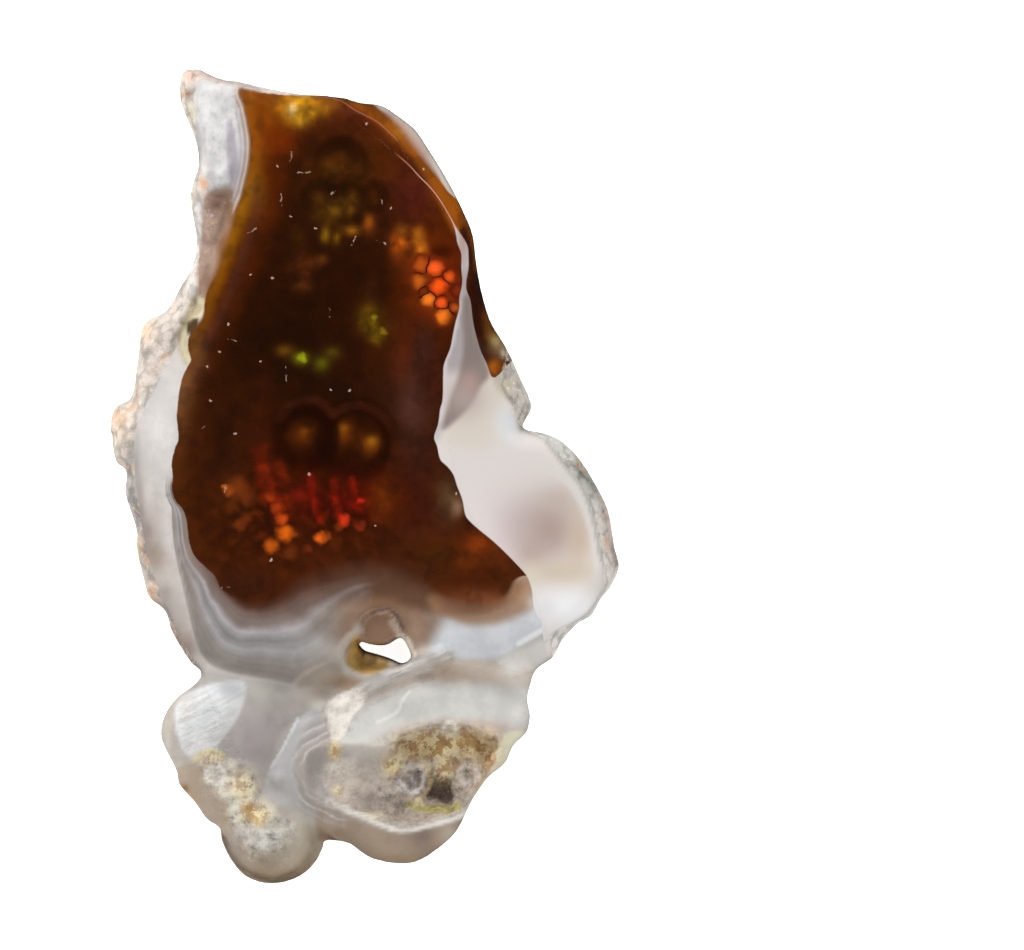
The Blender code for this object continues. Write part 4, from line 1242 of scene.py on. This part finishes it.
def measure(x, y):
    """Distances and covers that the material needs at each point, by name."""
    window = inside_distance(x, y, WINDOW)
    soft = np.full(len(x), CRISP)
    for centre, half, width in SOFT_BORDERS:
        mask, _ = dab(centre, half, None, width)
        soft = np.maximum(soft, mask(x, y))
    bands_end = beside(x, y, BANDS_END)
    outside = np.clip(-window, 0.0, None)
    polish = beside(x, y, POLISH_EDGE)
    facet = beside(x, y, FACET_EDGE)
    valley = beside(x, y, VALLEY)
    upper, lower = [beside(x, y, line) for line in RIDGE_HIGHLIGHT_LINES]
    return {
        "window_edge": window,
        "window_soft": soft,
        "facet_left": beside(x, y, FACET_LEFT),
        "wedge_left": beside(x, y, WEDGE_LEFT),
        "upper_ridge": upper,
        "lower_ridge": lower,
        "ridge_highlights_shown": covered(x, y, RIDGE_HIGHLIGHTS_SHOWN),
        "bands": outside / np.clip(outside + bands_end, LEAST_BAND, None),
        "rind": np.maximum(-polish, facet) * (1.0 - covered(x, y, WORN)),
        "valley": valley,
        "crumbly": covered(x, y, CRUMBLY),
        "gilded": covered(x, y, GILDED),
        "fibrous": covered(x, y, FIBROUS),
        "banded": covered(x, y, BANDED) * (1.0 - covered(x, y, BANDS_FADE)),
        "thinly_banded": covered(x, y, THINLY_BANDED),
        "layered": covered(x, y, LAYERED),
        "pocket": inside_distance(x, y, POCKET),
        "grapes": covered(x, y, GRAPES),
    }


def grain_of(form, x, y):
    """Height of one form of fine grain over each point."""
    height, size, noise_level = form
    return height * rough(x, y, noise_level, size)


def fine_grain(x, y, level, marks):
    """Height of the fine grain over each point, which is zero off the front."""
    front = level == 1.0
    x, y = x[front], y[front]
    marks = {name: values[front] for name, values in marks.items()}
    along = x * math.cos(FIBRE_TURN) + y * math.sin(FIBRE_TURN)
    across = y * math.cos(FIBRE_TURN) - x * math.sin(FIBRE_TURN)
    rind_cover = smooth_step(0.0, RIND_EDGE, marks["rind"]) * (marks["valley"] > 0.0)
    grain = np.zeros(len(level))
    grain[front] = rind_cover * grain_of(RIND_FINE, x, y)
    grain[front] += marks["crumbly"] * grain_of(CRUST_FINE, x, y)
    grain[front] += marks["fibrous"] * grain_of(FIBRE_FINE, along / FIBRE_STRETCH, across)
    return grain


def store(stone, name, values):
    """Keep a number or a colour for each of the stone's points."""
    if values.ndim == 1:
        layer = stone.data.attributes.new(name, "FLOAT", "POINT")
        layer.data.foreach_set("value", values)
        return
    layer = stone.data.attributes.new(name, "FLOAT_COLOR", "POINT")
    opaque = np.column_stack((values, np.ones(len(values))))
    layer.data.foreach_set("color", opaque.ravel())


def dressed_stone():
    """The stone in full detail, with its paint and its measures stored at its points."""
    stone = slab()
    x, y, level = carve(stone)
    marks = measure(x, y)
    stone = soften(stone)
    roughen(stone, level, fine_grain(x, y, level, marks))
    for name, values in marks.items():
        store(stone, name, values)
    store(stone, "level", level)
    store(stone, "window_paint", as_light(window_paint(x, y, marks["window_edge"])))
    store(stone, "facet_paint", as_light(painted(x, y, FACET_BASE, FACET_STROKES)))
    store(stone, "stone_paint", as_light(painted(x, y, STONE_BASE, STONE_STROKES)))
    stone.data.shade_smooth()
    stone.name = "fire_agate_stone"
    return stone


# The material, built from a few kinds of node


class Sheet:
    """A material's node tree, with one method for each kind of node that it needs."""

    def __init__(self, name):
        self.material = bpy.data.materials.new(name)
        self.material.use_nodes = True
        self.nodes = self.material.node_tree.nodes
        self.links = self.material.node_tree.links
        self.shader = self.nodes["Principled BSDF"]

    def feed(self, socket, value):
        """Link a socket to another, or set it to a plain value."""
        if isinstance(value, bpy.types.NodeSocket):
            self.links.new(value, socket)
        else:
            socket.default_value = value

    def attribute(self, name, output="Fac"):
        node = self.nodes.new("ShaderNodeAttribute")
        node.attribute_name = name
        return node.outputs[output]

    def math(self, operation, first, second=0.0):
        node = self.nodes.new("ShaderNodeMath")
        node.operation = operation
        self.feed(node.inputs[0], first)
        self.feed(node.inputs[1], second)
        return node.outputs[0]

    def times(self, first, second):
        return self.math("MULTIPLY", first, second)

    def plus(self, first, second):
        return self.math("ADD", first, second)

    def highest(self, *values):
        return functools.reduce(lambda first, second: self.math("MAXIMUM", first, second), values)

    def lowest(self, *values):
        return functools.reduce(lambda first, second: self.math("MINIMUM", first, second), values)

    def vector(self, operation, first, second):
        node = self.nodes.new("ShaderNodeVectorMath")
        node.operation = operation
        self.feed(node.inputs[0], first)
        self.feed(node.inputs[1], second)
        return node.outputs["Value" if operation in ("DISTANCE", "DOT_PRODUCT") else "Vector"]

    def scaled(self, colour, amount):
        node = self.nodes.new("ShaderNodeVectorMath")
        node.operation = "SCALE"
        self.feed(node.inputs[0], colour)
        self.feed(node.inputs["Scale"], amount)
        return node.outputs[0]

    def turned(self, where, angle):
        node = self.nodes.new("ShaderNodeVectorRotate")
        node.rotation_type = "Z_AXIS"
        self.feed(node.inputs["Vector"], where)
        node.inputs["Angle"].default_value = angle
        return node.outputs[0]

    def step(self, value, low, high, bottom=0.0, top=1.0):
        """Rise smoothly from bottom at low to top at high."""
        node = self.nodes.new("ShaderNodeMapRange")
        node.interpolation_type = "SMOOTHSTEP"
        for socket, number in zip(node.inputs, (value, low, high, bottom, top)):
            self.feed(socket, number)
        return node.outputs[0]

    def mix(self, factor, first, second, blend="MIX"):
        """Mix two colours, each given as a socket or as a screen colour of 0 to 255."""
        node = self.nodes.new("ShaderNodeMix")
        node.data_type = "RGBA"
        node.blend_type = blend
        self.feed(node.inputs[0], factor)
        for socket, colour in ((node.inputs[6], first), (node.inputs[7], second)):
            self.feed(socket, shade(colour) if isinstance(colour, tuple) else colour)
        return node.outputs[2]

    def noise(self, where, scale, detail=3.0, roughness=0.55, output="Fac", space="3D"):
        node = self.nodes.new("ShaderNodeTexNoise")
        node.noise_dimensions = space
        self.feed(node.inputs["Vector"], where)
        node.inputs["Scale"].default_value = scale
        node.inputs["Detail"].default_value = detail
        node.inputs["Roughness"].default_value = roughness
        return node.outputs[output]

    def swing(self, where, scale, amount):
        """Noise that swings this far about zero."""
        return self.times(self.math("SUBTRACT", self.noise(where, scale), 0.5), amount)

    def cells(self, where, scale, feature="F1", space="3D"):
        node = self.nodes.new("ShaderNodeTexVoronoi")
        node.voronoi_dimensions = space
        node.feature = feature
        self.feed(node.inputs["Vector"], where)
        node.inputs["Scale"].default_value = scale
        return node.outputs["Distance"]

    def ramp(self, factor, stops):
        node = self.nodes.new("ShaderNodeValToRGB")
        fill_ramp(node, [(position, shade(colour)) for position, colour in stops])
        self.feed(node.inputs["Fac"], factor)
        return node.outputs["Color"]


def fill_ramp(node, stops):
    """Give a ramp its stops, each as a position and a socket's colour."""
    elements = node.color_ramp.elements
    while len(elements) < len(stops):
        elements.new(0.5)
    for element, (position, colour) in zip(elements, stops):
        element.position = position
        element.color = colour


def shade(colour):
    """A screen colour of 0 to 255 as a socket's colour."""
    return (*as_light(np.array(colour) / 255.0), 1.0)


def from_pixel(sheet, flat, pixel):
    """Distance to a point that is given as a pixel of the photograph."""
    return sheet.vector("DISTANCE", flat, (*place(pixel), 0.0))


def nearest_speck(sheet, flat, pixels):
    """Distance to the nearest of a few points."""
    return sheet.lowest(*[from_pixel(sheet, flat, pixel) for pixel in pixels])


def nearest_stroke(sheet, flat, lines):
    """Distance to the nearest of a few lines of two or three points."""
    distances = []
    for line in lines:
        points = np.array([place(pixel) for pixel in line])
        for start, end in zip(points, points[1:]):
            run = end - start
            offset = sheet.vector("SUBTRACT", flat, (*start, 0.0))
            along = sheet.vector("DOT_PRODUCT", offset, (*(run / (run @ run)), 0.0))
            along = sheet.lowest(sheet.highest(along, 0.0), 1.0)
            distances.append(sheet.vector("DISTANCE", offset, sheet.scaled((*run, 0.0), along)))
    return sheet.lowest(*distances)


def bent(sheet, flat, scale, amount):
    """The flat position, pushed about by noise so that round shapes come out uneven."""
    push = sheet.noise(flat, scale, 2.0, output="Color", space="2D")
    push = sheet.vector("SUBTRACT", push, (0.5, 0.5, 0.5))
    push = sheet.vector("MULTIPLY", push, (amount, amount, 0.0))
    return sheet.vector("ADD", flat, push)


# Numbers of the material. Noise is given as scale, detail and roughness, a bend or a wobble as its
# scale and its amount, and levels, shading and covers as low, high, bottom and top of a smooth
# rise. First the fire: how its spots and cells bend, fade and shade off into walls
SPOT_BEND = (0.8, 0.8)
SPOT_REACH = (1.45, 0.1)
CELL_BEND = (1.0, 0.45)
CELL_FAR = 9.0
CELL_WALL = (0.02, 0.26)
CELL_GLOW = (0.15, 1.0, 0.0, 0.9)
CELL_REACH = (1.35, 0.75)
CELL_SHADE = (84, 20, 3)
CELL_WALL_SHADE = (44, 12, 3)


def with_fire(sheet, colour, flat):
    """Add the fire: lone soft spots, then the honeycomb of cells with dark walls."""
    uneven = bent(sheet, flat, *SPOT_BEND)
    for centre, radius, tint, strength in FIRE_SPOTS:
        away = from_pixel(sheet, uneven, centre)
        far, near = [reach * radius * SCALE for reach in SPOT_REACH]
        colour = sheet.mix(sheet.step(away, far, near, 0.0, strength), colour, tint)

    nearest = CELL_FAR
    second = CELL_FAR
    tint = HONEYCOMB[0][2]
    uneven = bent(sheet, flat, *CELL_BEND)
    for centre, radius, cell_tint in HONEYCOMB:
        away = sheet.times(from_pixel(sheet, uneven, centre), 1.0 / (radius * SCALE))
        tint = sheet.mix(sheet.math("LESS_THAN", away, nearest), tint, cell_tint)
        second = sheet.lowest(second, sheet.highest(away, nearest))
        nearest = sheet.lowest(nearest, away)
    from_wall = sheet.math("SUBTRACT", second, nearest)
    tint = sheet.mix(sheet.step(nearest, *CELL_GLOW), tint, CELL_SHADE)
    tint = sheet.mix(sheet.step(from_wall, *CELL_WALL), CELL_WALL_SHADE, tint)
    return sheet.mix(sheet.step(nearest, *CELL_REACH), colour, tint)


# The brown window: dark lumps, lighter mottle, grape-like cells, dust, scratches and painted
# highlights along the ridge
LUMPS = (0.55, 2.0)
LUMP_LEVELS = (0.46, 0.64, 0.0, 0.3)
LUMP_SHADE = (24, 9, 3)
MOTTLE = (0.8, 2.0, 0.4)
MOTTLE_LEVELS = (0.40, 0.80, 0.0, 0.2)
GRAPE_BEND = (1.0, 1.0)
GRAPE_SCALE = 0.75
GRAPE_WALLS = (0.35, 0.0, 0.0, 0.6)
GRAPE_HEARTS = (0.18, 0.6, 0.0, 0.7)
GRAPE_SHADE = (28, 10, 3)
DUST_BEND = (3.0, 0.3)
SPECK_LEVELS = (0.119, 0.0425, 0.0, 0.7)
SPECK_COLOUR = (206, 178, 160)
SCRATCH_LEVELS = (0.072, 0.02, 0.0, 0.7)
SCRATCH_COLOUR = (176, 146, 126)
SCRATCH_GAPS = (2.2, 1.0)
SCRATCH_GAP_LEVELS = (0.40, 0.58)
RIDGE_HIGHLIGHT_WIDTHS = (0.08, 0.02)
RIDGE_HIGHLIGHT_STRENGTHS = {"upper_ridge": 0.35, "lower_ridge": 0.6}
RIDGE_HIGHLIGHT_COLOUR = (190, 118, 94)


def window_colour(sheet, flat):
    """The brown window with its botryoids, fire, dust and painted highlights along the ridge."""
    colour = sheet.attribute("window_paint", "Color")
    lumps = sheet.noise(flat, *LUMPS, space="2D")
    colour = sheet.mix(sheet.step(lumps, *LUMP_LEVELS), colour, LUMP_SHADE)
    mottle = sheet.noise(flat, *MOTTLE, space="2D")
    colour = sheet.mix(sheet.step(mottle, *MOTTLE_LEVELS), colour, colour, "ADD")

    grapes = sheet.attribute("grapes")
    uneven = bent(sheet, flat, *GRAPE_BEND)
    from_wall = sheet.cells(uneven, GRAPE_SCALE, "DISTANCE_TO_EDGE", "2D")
    walls = sheet.times(sheet.step(from_wall, *GRAPE_WALLS), grapes)
    colour = sheet.mix(walls, colour, GRAPE_SHADE)
    hearts = sheet.times(sheet.step(from_wall, *GRAPE_HEARTS), grapes)
    colour = sheet.mix(hearts, colour, colour, "ADD")
    colour = with_fire(sheet, colour, flat)

    uneven = bent(sheet, flat, *DUST_BEND)
    specks = sheet.step(nearest_speck(sheet, uneven, SPECKS), *SPECK_LEVELS)
    colour = sheet.mix(specks, colour, SPECK_COLOUR)
    scratches = sheet.step(nearest_stroke(sheet, uneven, SCRATCHES), *SCRATCH_LEVELS)
    gaps = sheet.step(sheet.noise(flat, *SCRATCH_GAPS, space="2D"), *SCRATCH_GAP_LEVELS)
    colour = sheet.mix(sheet.times(scratches, gaps), colour, SCRATCH_COLOUR)

    # The two painted highlights along the ridge
    shown = sheet.attribute("ridge_highlights_shown")
    for name, strength in RIDGE_HIGHLIGHT_STRENGTHS.items():
        away = sheet.math("ABSOLUTE", sheet.attribute(name))
        line = sheet.times(sheet.step(away, *RIDGE_HIGHLIGHT_WIDTHS, 0.0, strength), shown)
        colour = sheet.mix(line, colour, RIDGE_HIGHLIGHT_COLOUR)
    return colour


# The pale stone: its bands outward from the window, the thin ones at the top left, the layers
# outward from the pocket, each as position and colour, then the numbers of the wobble, the fine
# lines, the clouds, the crumbs, the gilt and the fibres over them
BANDS = [
    (0.00, (86, 58, 46)), (0.10, (110, 86, 78)), (0.20, (116, 100, 93)),
    (0.27, (122, 108, 101)), (0.33, (154, 145, 144)), (0.38, (172, 167, 170)),
    (0.44, (146, 142, 142)), (0.50, (130, 126, 127)), (0.57, (148, 145, 146)),
    (0.63, (162, 159, 160)), (0.70, (148, 142, 139)), (0.80, (138, 129, 124)),
    (0.90, (136, 127, 121)), (0.96, (140, 132, 126)), (1.00, (176, 168, 162)),
]
THIN_BANDS = [
    (0.00, (122, 82, 52)), (0.12, (146, 118, 100)), (0.24, (196, 182, 168)),
    (0.34, (172, 152, 138)), (0.46, (166, 152, 152)), (0.58, (194, 185, 181)),
    (0.72, (172, 164, 170)), (1.00, (192, 188, 188)),
]
LAYERS = [
    (0.00, (170, 160, 152)), (0.06, (196, 189, 183)), (0.12, (164, 154, 148)),
    (0.19, (174, 166, 160)), (0.24, (206, 201, 197)), (0.29, (166, 158, 154)),
    (0.38, (178, 171, 167)), (0.44, (200, 195, 191)), (0.49, (170, 163, 160)),
    (0.64, (184, 179, 177)), (0.70, (198, 194, 192)), (0.75, (178, 173, 171)),
    (1.00, (184, 180, 179)),
]
WOBBLE = (0.5, 0.12)
WOBBLE_ENDS = (0.9, 0.7)
BANDS_COVER = (1.02, 1.0, 0.0, 0.9)
FINE_LINES = 75.0
FINE_LINE_SHADING = (-1.0, 1.0, 0.975, 1.03)
CLOUDS = (0.45, 5.0, 0.6)
CLOUD_SHADING = (0.36, 0.64, 0.93, 1.06)
LAYERS_WIDTH = 3.2
LAYERS_WOBBLE = 3.5
LAYERS_COVER = (0.36, 0.60, 0.2, 0.9)
CRUMBS = (1.4, 5.0, 0.75)
CRUMB_SHADING = (0.34, 0.60, 0.74, 1.20)
CRUMB_LIGHTS = (0.56, 0.70, 0.0, 0.5)
CRUMB_DARKS = (0.42, 0.34, 0.0, 0.6)
CRUMB_COLOURS = ((240, 232, 216), (122, 102, 88))
NUGGETS = (1.0, 4.0, 0.7)
NUGGET_LEVELS = (0.44, 0.54)
GILT_COLOURS = ((182, 142, 88), (246, 230, 184))
GILT_COVER = (0.36, 0.46)
FIBRES = (1.0, 4.0)
FIBRE_SQUEEZE = (0.35, 2.6, 0.0)
FIBRE_LEVELS = (0.45, 0.62, 0.0, 0.6)
FIBRE_COLOUR = (176, 166, 158)


def pale_colour(sheet, where, flat):
    """The pale stone: washes, the bands below the window, the thin bands and the grain."""
    colour = sheet.attribute("stone_paint", "Color")
    wobble = sheet.swing(where, *WOBBLE)
    outward = sheet.attribute("bands")
    faded = sheet.times(wobble, sheet.step(outward, *WOBBLE_ENDS))
    bands = sheet.ramp(sheet.plus(outward, faded), BANDS)
    lines = sheet.math("SINE", sheet.times(sheet.plus(outward, wobble), FINE_LINES))
    bands = sheet.scaled(bands, sheet.step(lines, *FINE_LINE_SHADING))
    banded = sheet.times(sheet.attribute("banded"), sheet.step(outward, *BANDS_COVER))
    colour = sheet.mix(banded, colour, bands)

    outside = sheet.times(sheet.attribute("window_edge"), -1.0)
    thin = sheet.ramp(sheet.plus(outside, wobble), THIN_BANDS)
    colour = sheet.mix(sheet.attribute("thinly_banded"), colour, thin)

    cloudy = sheet.noise(flat, *CLOUDS, space="2D")
    colour = sheet.scaled(colour, sheet.step(cloudy, *CLOUD_SHADING))

    peeled = sheet.times(sheet.attribute("pocket"), -1.0 / LAYERS_WIDTH)
    peeled = sheet.plus(peeled, sheet.times(wobble, LAYERS_WOBBLE))
    layered = sheet.times(sheet.attribute("layered"), sheet.step(cloudy, *LAYERS_COVER))
    colour = sheet.mix(layered, colour, sheet.ramp(peeled, LAYERS))

    crumbs = sheet.noise(where, *CRUMBS)
    crumbled = sheet.scaled(colour, sheet.step(crumbs, *CRUMB_SHADING))
    crumbled = sheet.mix(sheet.step(crumbs, *CRUMB_LIGHTS), crumbled, CRUMB_COLOURS[0])
    crumbled = sheet.mix(sheet.step(crumbs, *CRUMB_DARKS), crumbled, CRUMB_COLOURS[1])
    colour = sheet.mix(sheet.attribute("crumbly"), colour, crumbled)
    nuggets = sheet.step(sheet.noise(flat, *NUGGETS, space="2D"), *NUGGET_LEVELS)
    gilded = sheet.times(sheet.attribute("gilded"), sheet.step(crumbs, *GILT_COVER))
    colour = sheet.mix(gilded, colour, sheet.mix(nuggets, *GILT_COLOURS))

    stretched = sheet.vector("MULTIPLY", sheet.turned(flat, -FIBRE_TURN), FIBRE_SQUEEZE)
    fibres = sheet.step(sheet.noise(stretched, *FIBRES, space="2D"), *FIBRE_LEVELS)
    fibres = sheet.times(fibres, sheet.attribute("fibrous"))
    return sheet.mix(fibres, colour, FIBRE_COLOUR)


# The rough rind: its knobs, with painted shade between them, its pale grains and orange stains,
# and the ramp of the sides and the back
RIND_LEVELS = (0.0, 0.2)
VALLEY_LEVELS = (0.0, 0.3)
RIND_GRAINS = (1.8, 5.0, 0.7)
RIND_GRAIN_LEVELS = (0.54, 0.66, 0.0, 0.6)
RIND_GRAIN_COLOUR = (240, 232, 222)
KNOB_SCALE = 1.2
KNOB_GRAIN = 0.5
KNOB_SHADING = (0.60, 1.05, 1.05, 0.68)
STAINS = (0.7, 2.0)
STAIN_LEVELS = (0.58, 0.70, 0.0, 0.5)
STAIN_COLOUR = (226, 180, 140)
BACK = (0.16, 5.0, 0.6)
BACK_COLOURS = [
    (0.30, (150, 122, 100)), (0.42, (184, 168, 152)), (0.52, (202, 192, 180)),
    (0.62, (212, 206, 198)), (0.72, (194, 185, 174)),
]


def with_rind(sheet, colour, where):
    """Painted shade between the knobs, grain and orange stains over the rough rind."""
    rind = sheet.step(sheet.attribute("rind"), *RIND_LEVELS)
    rind = sheet.times(rind, sheet.step(sheet.attribute("valley"), *VALLEY_LEVELS))
    grains = sheet.noise(where, *RIND_GRAINS)
    knobs = sheet.plus(sheet.cells(where, KNOB_SCALE), sheet.times(grains, KNOB_GRAIN))
    # Painted shade: lighter in the middle of each knob, darker between them
    shaded_rind = sheet.scaled(colour, sheet.step(knobs, *KNOB_SHADING))
    shaded_rind = sheet.mix(sheet.step(grains, *RIND_GRAIN_LEVELS), shaded_rind, RIND_GRAIN_COLOUR)
    stains = sheet.step(sheet.noise(where, *STAINS), *STAIN_LEVELS)
    return sheet.mix(rind, colour, sheet.mix(stains, shaded_rind, STAIN_COLOUR))


def back_colour(sheet, where):
    """The rind of the sides and the back: grey and cream, with brown showing through."""
    return sheet.ramp(sheet.noise(where, *BACK), BACK_COLOURS)


# How the parts meet and how they shine: from 0 where the stone is polished to 1 where it is matt
BORDER_SCALE = 2.5
BORDER_LEVELS = (-0.5, 0.5)
DEPTH_WOBBLE = (0.4, 0.5)
DEPTH_LEVELS = (0.70, 0.40)
LOBE_LEVELS = (0.3, -0.3, 0.0, 0.45)
ROUGHNESS_LEVELS = (0.0, 1.0, 0.12, 0.78)
COAT_LEVELS = (0.3, 0.9, 0.6, 0.0)
COAT_ROUGHNESS = 0.06
STONE_IOR = 1.54
BUMPS = (2.4, 4.0, 0.75)
BUMP_LEVELS = (0.2, 1.0, 0.0, 0.8)
BUMP_HEIGHT = 0.35


def agate_material():
    """Brown window, white facet, pale banded stone and rough rind in one material."""
    sheet = Sheet("agate")
    around = sheet.nodes.new("ShaderNodeTexCoord").outputs["Object"]
    where = sheet.vector("MULTIPLY", around, (1.0 / MM, 1.0 / MM, 1.0 / MM))
    flat = sheet.vector("MULTIPLY", around, (1.0 / MM, 1.0 / MM, 0.0))

    across = sheet.plus(sheet.attribute("window_edge"), sheet.swing(where, BORDER_SCALE, 2.0 * WARP))
    across = sheet.math("DIVIDE", across, sheet.attribute("window_soft"))
    window = sheet.step(across, *BORDER_LEVELS)
    colour = sheet.mix(window, pale_colour(sheet, where, flat), window_colour(sheet, flat))

    right = sheet.step(sheet.attribute("facet_left"), -CRISP / 2.0, CRISP / 2.0)
    left = sheet.step(sheet.attribute("wedge_left"), CRISP / 2.0, -CRISP / 2.0)
    facet = sheet.lowest(right, left)
    colour = sheet.mix(facet, colour, sheet.attribute("facet_paint", "Color"))
    colour = with_rind(sheet, colour, where)

    height = sheet.plus(sheet.attribute("level"), sheet.swing(where, *DEPTH_WOBBLE))
    deep = sheet.step(height, *DEPTH_LEVELS)
    colour = sheet.mix(deep, colour, back_colour(sheet, where))
    sheet.feed(sheet.shader.inputs["Base Color"], colour)

    matt = sheet.highest(
        sheet.step(sheet.attribute("rind"), *RIND_LEVELS), sheet.attribute("crumbly"),
        sheet.attribute("fibrous"), deep, sheet.step(sheet.attribute("valley"), *LOBE_LEVELS),
    )
    sheet.feed(sheet.shader.inputs["Roughness"], sheet.step(matt, *ROUGHNESS_LEVELS))
    sheet.feed(sheet.shader.inputs["Coat Weight"], sheet.step(matt, *COAT_LEVELS))
    sheet.shader.inputs["Coat Roughness"].default_value = COAT_ROUGHNESS
    sheet.shader.inputs["IOR"].default_value = STONE_IOR

    bump = sheet.nodes.new("ShaderNodeBump")
    sheet.feed(bump.inputs["Height"], sheet.noise(where, *BUMPS))
    sheet.feed(bump.inputs["Strength"], sheet.step(matt, *BUMP_LEVELS))
    bump.inputs["Distance"].default_value = BUMP_HEIGHT * MM
    sheet.feed(sheet.shader.inputs["Normal"], bump.outputs["Normal"])
    return sheet.material


# The floor, the light and the camera. The sky is a light, and in reflections a ramp by height
FLOOR_SIZE = 1200.0
FLOOR_CORNERS = [(-0.5, -0.5), (0.5, -0.5), (0.5, 0.5), (-0.5, 0.5)]
FLOOR_WHITE = 0.9
FLOOR_ROUGHNESS = 0.9
FLOOR_GLOW = 0.80
SKY_LIGHT = 0.86
SKY_GLOSS = [(0.0, 0.01), (0.08, 0.05), (0.2, 0.10), (0.4, 0.03), (0.7, 0.01), (1.0, 0.01)]
SOFTBOX_SIZE = 0.35
SOFTBOX_POWER = 2.2
SOFTBOX_PLACE = (-0.20, 0.50, 0.40)
SOFTBOX_AIM = (0.20, -0.50, -0.39)
CAMERA_LENS = 800.0
CAMERA_SENSOR = 36.0
FOCUS_LEVEL = 10.0


def floor():
    """A plain white floor that glows a little, as a light table does."""
    size = FLOOR_SIZE * MM
    shape = bpy.data.meshes.new("floor")
    shape.from_pydata([(x * size, y * size, 0.0) for x, y in FLOOR_CORNERS], [], [(0, 1, 2, 3)])
    ground = bpy.data.objects.new("floor", shape)
    bpy.context.scene.collection.objects.link(ground)
    sheet = Sheet("white_floor")
    sheet.shader.inputs["Base Color"].default_value = (FLOOR_WHITE, FLOOR_WHITE, FLOOR_WHITE, 1.0)
    sheet.shader.inputs["Roughness"].default_value = FLOOR_ROUGHNESS
    sheet.shader.inputs["Specular IOR Level"].default_value = 0.0
    sheet.shader.inputs["Emission Color"].default_value = (1.0, 1.0, 1.0, 1.0)
    sheet.shader.inputs["Emission Strength"].default_value = FLOOR_GLOW
    shape.materials.append(sheet.material)
    ground.visible_glossy = False


def studio_light():
    """A pale sky that is dark overhead, so that the polish shows its colours, and one softbox."""
    world = bpy.data.worlds.new("studio")
    bpy.context.scene.world = world
    world.use_nodes = True
    nodes = world.node_tree.nodes
    links = world.node_tree.links
    direction = nodes.new("ShaderNodeTexCoord")
    split = nodes.new("ShaderNodeSeparateXYZ")
    gloss = nodes.new("ShaderNodeValToRGB")
    fill_ramp(gloss, [(height, (glow, glow, glow, 1.0)) for height, glow in SKY_GLOSS])
    links.new(direction.outputs["Generated"], split.inputs[0])
    links.new(split.outputs["Z"], gloss.inputs["Fac"])
    path = nodes.new("ShaderNodeLightPath")
    strength = nodes.new("ShaderNodeMapRange")
    strength.inputs["To Min"].default_value = SKY_LIGHT
    links.new(path.outputs["Is Glossy Ray"], strength.inputs["Value"])
    links.new(gloss.outputs[0], strength.inputs["To Max"])
    links.new(strength.outputs[0], nodes["Background"].inputs["Strength"])
    nodes["Background"].inputs["Color"].default_value = (1.0, 1.0, 1.0, 1.0)

    softbox = bpy.data.lights.new("softbox", "AREA")
    softbox.shape = "DISK"
    softbox.size = SOFTBOX_SIZE
    softbox.energy = SOFTBOX_POWER
    lamp = bpy.data.objects.new("softbox", softbox)
    lamp.location = SOFTBOX_PLACE
    lamp.rotation_euler = Vector(SOFTBOX_AIM).to_track_quat("-Z", "Y").to_euler()
    lamp.visible_glossy = False
    bpy.context.scene.collection.objects.link(lamp)


def photo_camera():
    """A camera straight above, with the photograph's framing."""
    lens = bpy.data.cameras.new("camera")
    lens.lens = CAMERA_LENS
    lens.sensor_width = CAMERA_SENSOR
    camera = bpy.data.objects.new("camera", lens)
    x, y = place((PHOTO_WIDTH / 2.0, PHOTO_HEIGHT / 2.0))
    distance = PHOTO_WIDTH * SCALE * CAMERA_LENS / CAMERA_SENSOR
    camera.location = (x * MM, y * MM, (FOCUS_LEVEL + distance) * MM)
    bpy.context.scene.collection.objects.link(camera)
    bpy.context.scene.camera = camera


stone = dressed_stone()
stone.data.materials.clear()
stone.data.materials.append(agate_material())
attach(stone, "root")
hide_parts("fire_agate")
floor()
studio_light()
photo_camera()
bpy.context.scene.view_settings.view_transform = "Standard"
bpy.context.view_layer.update()
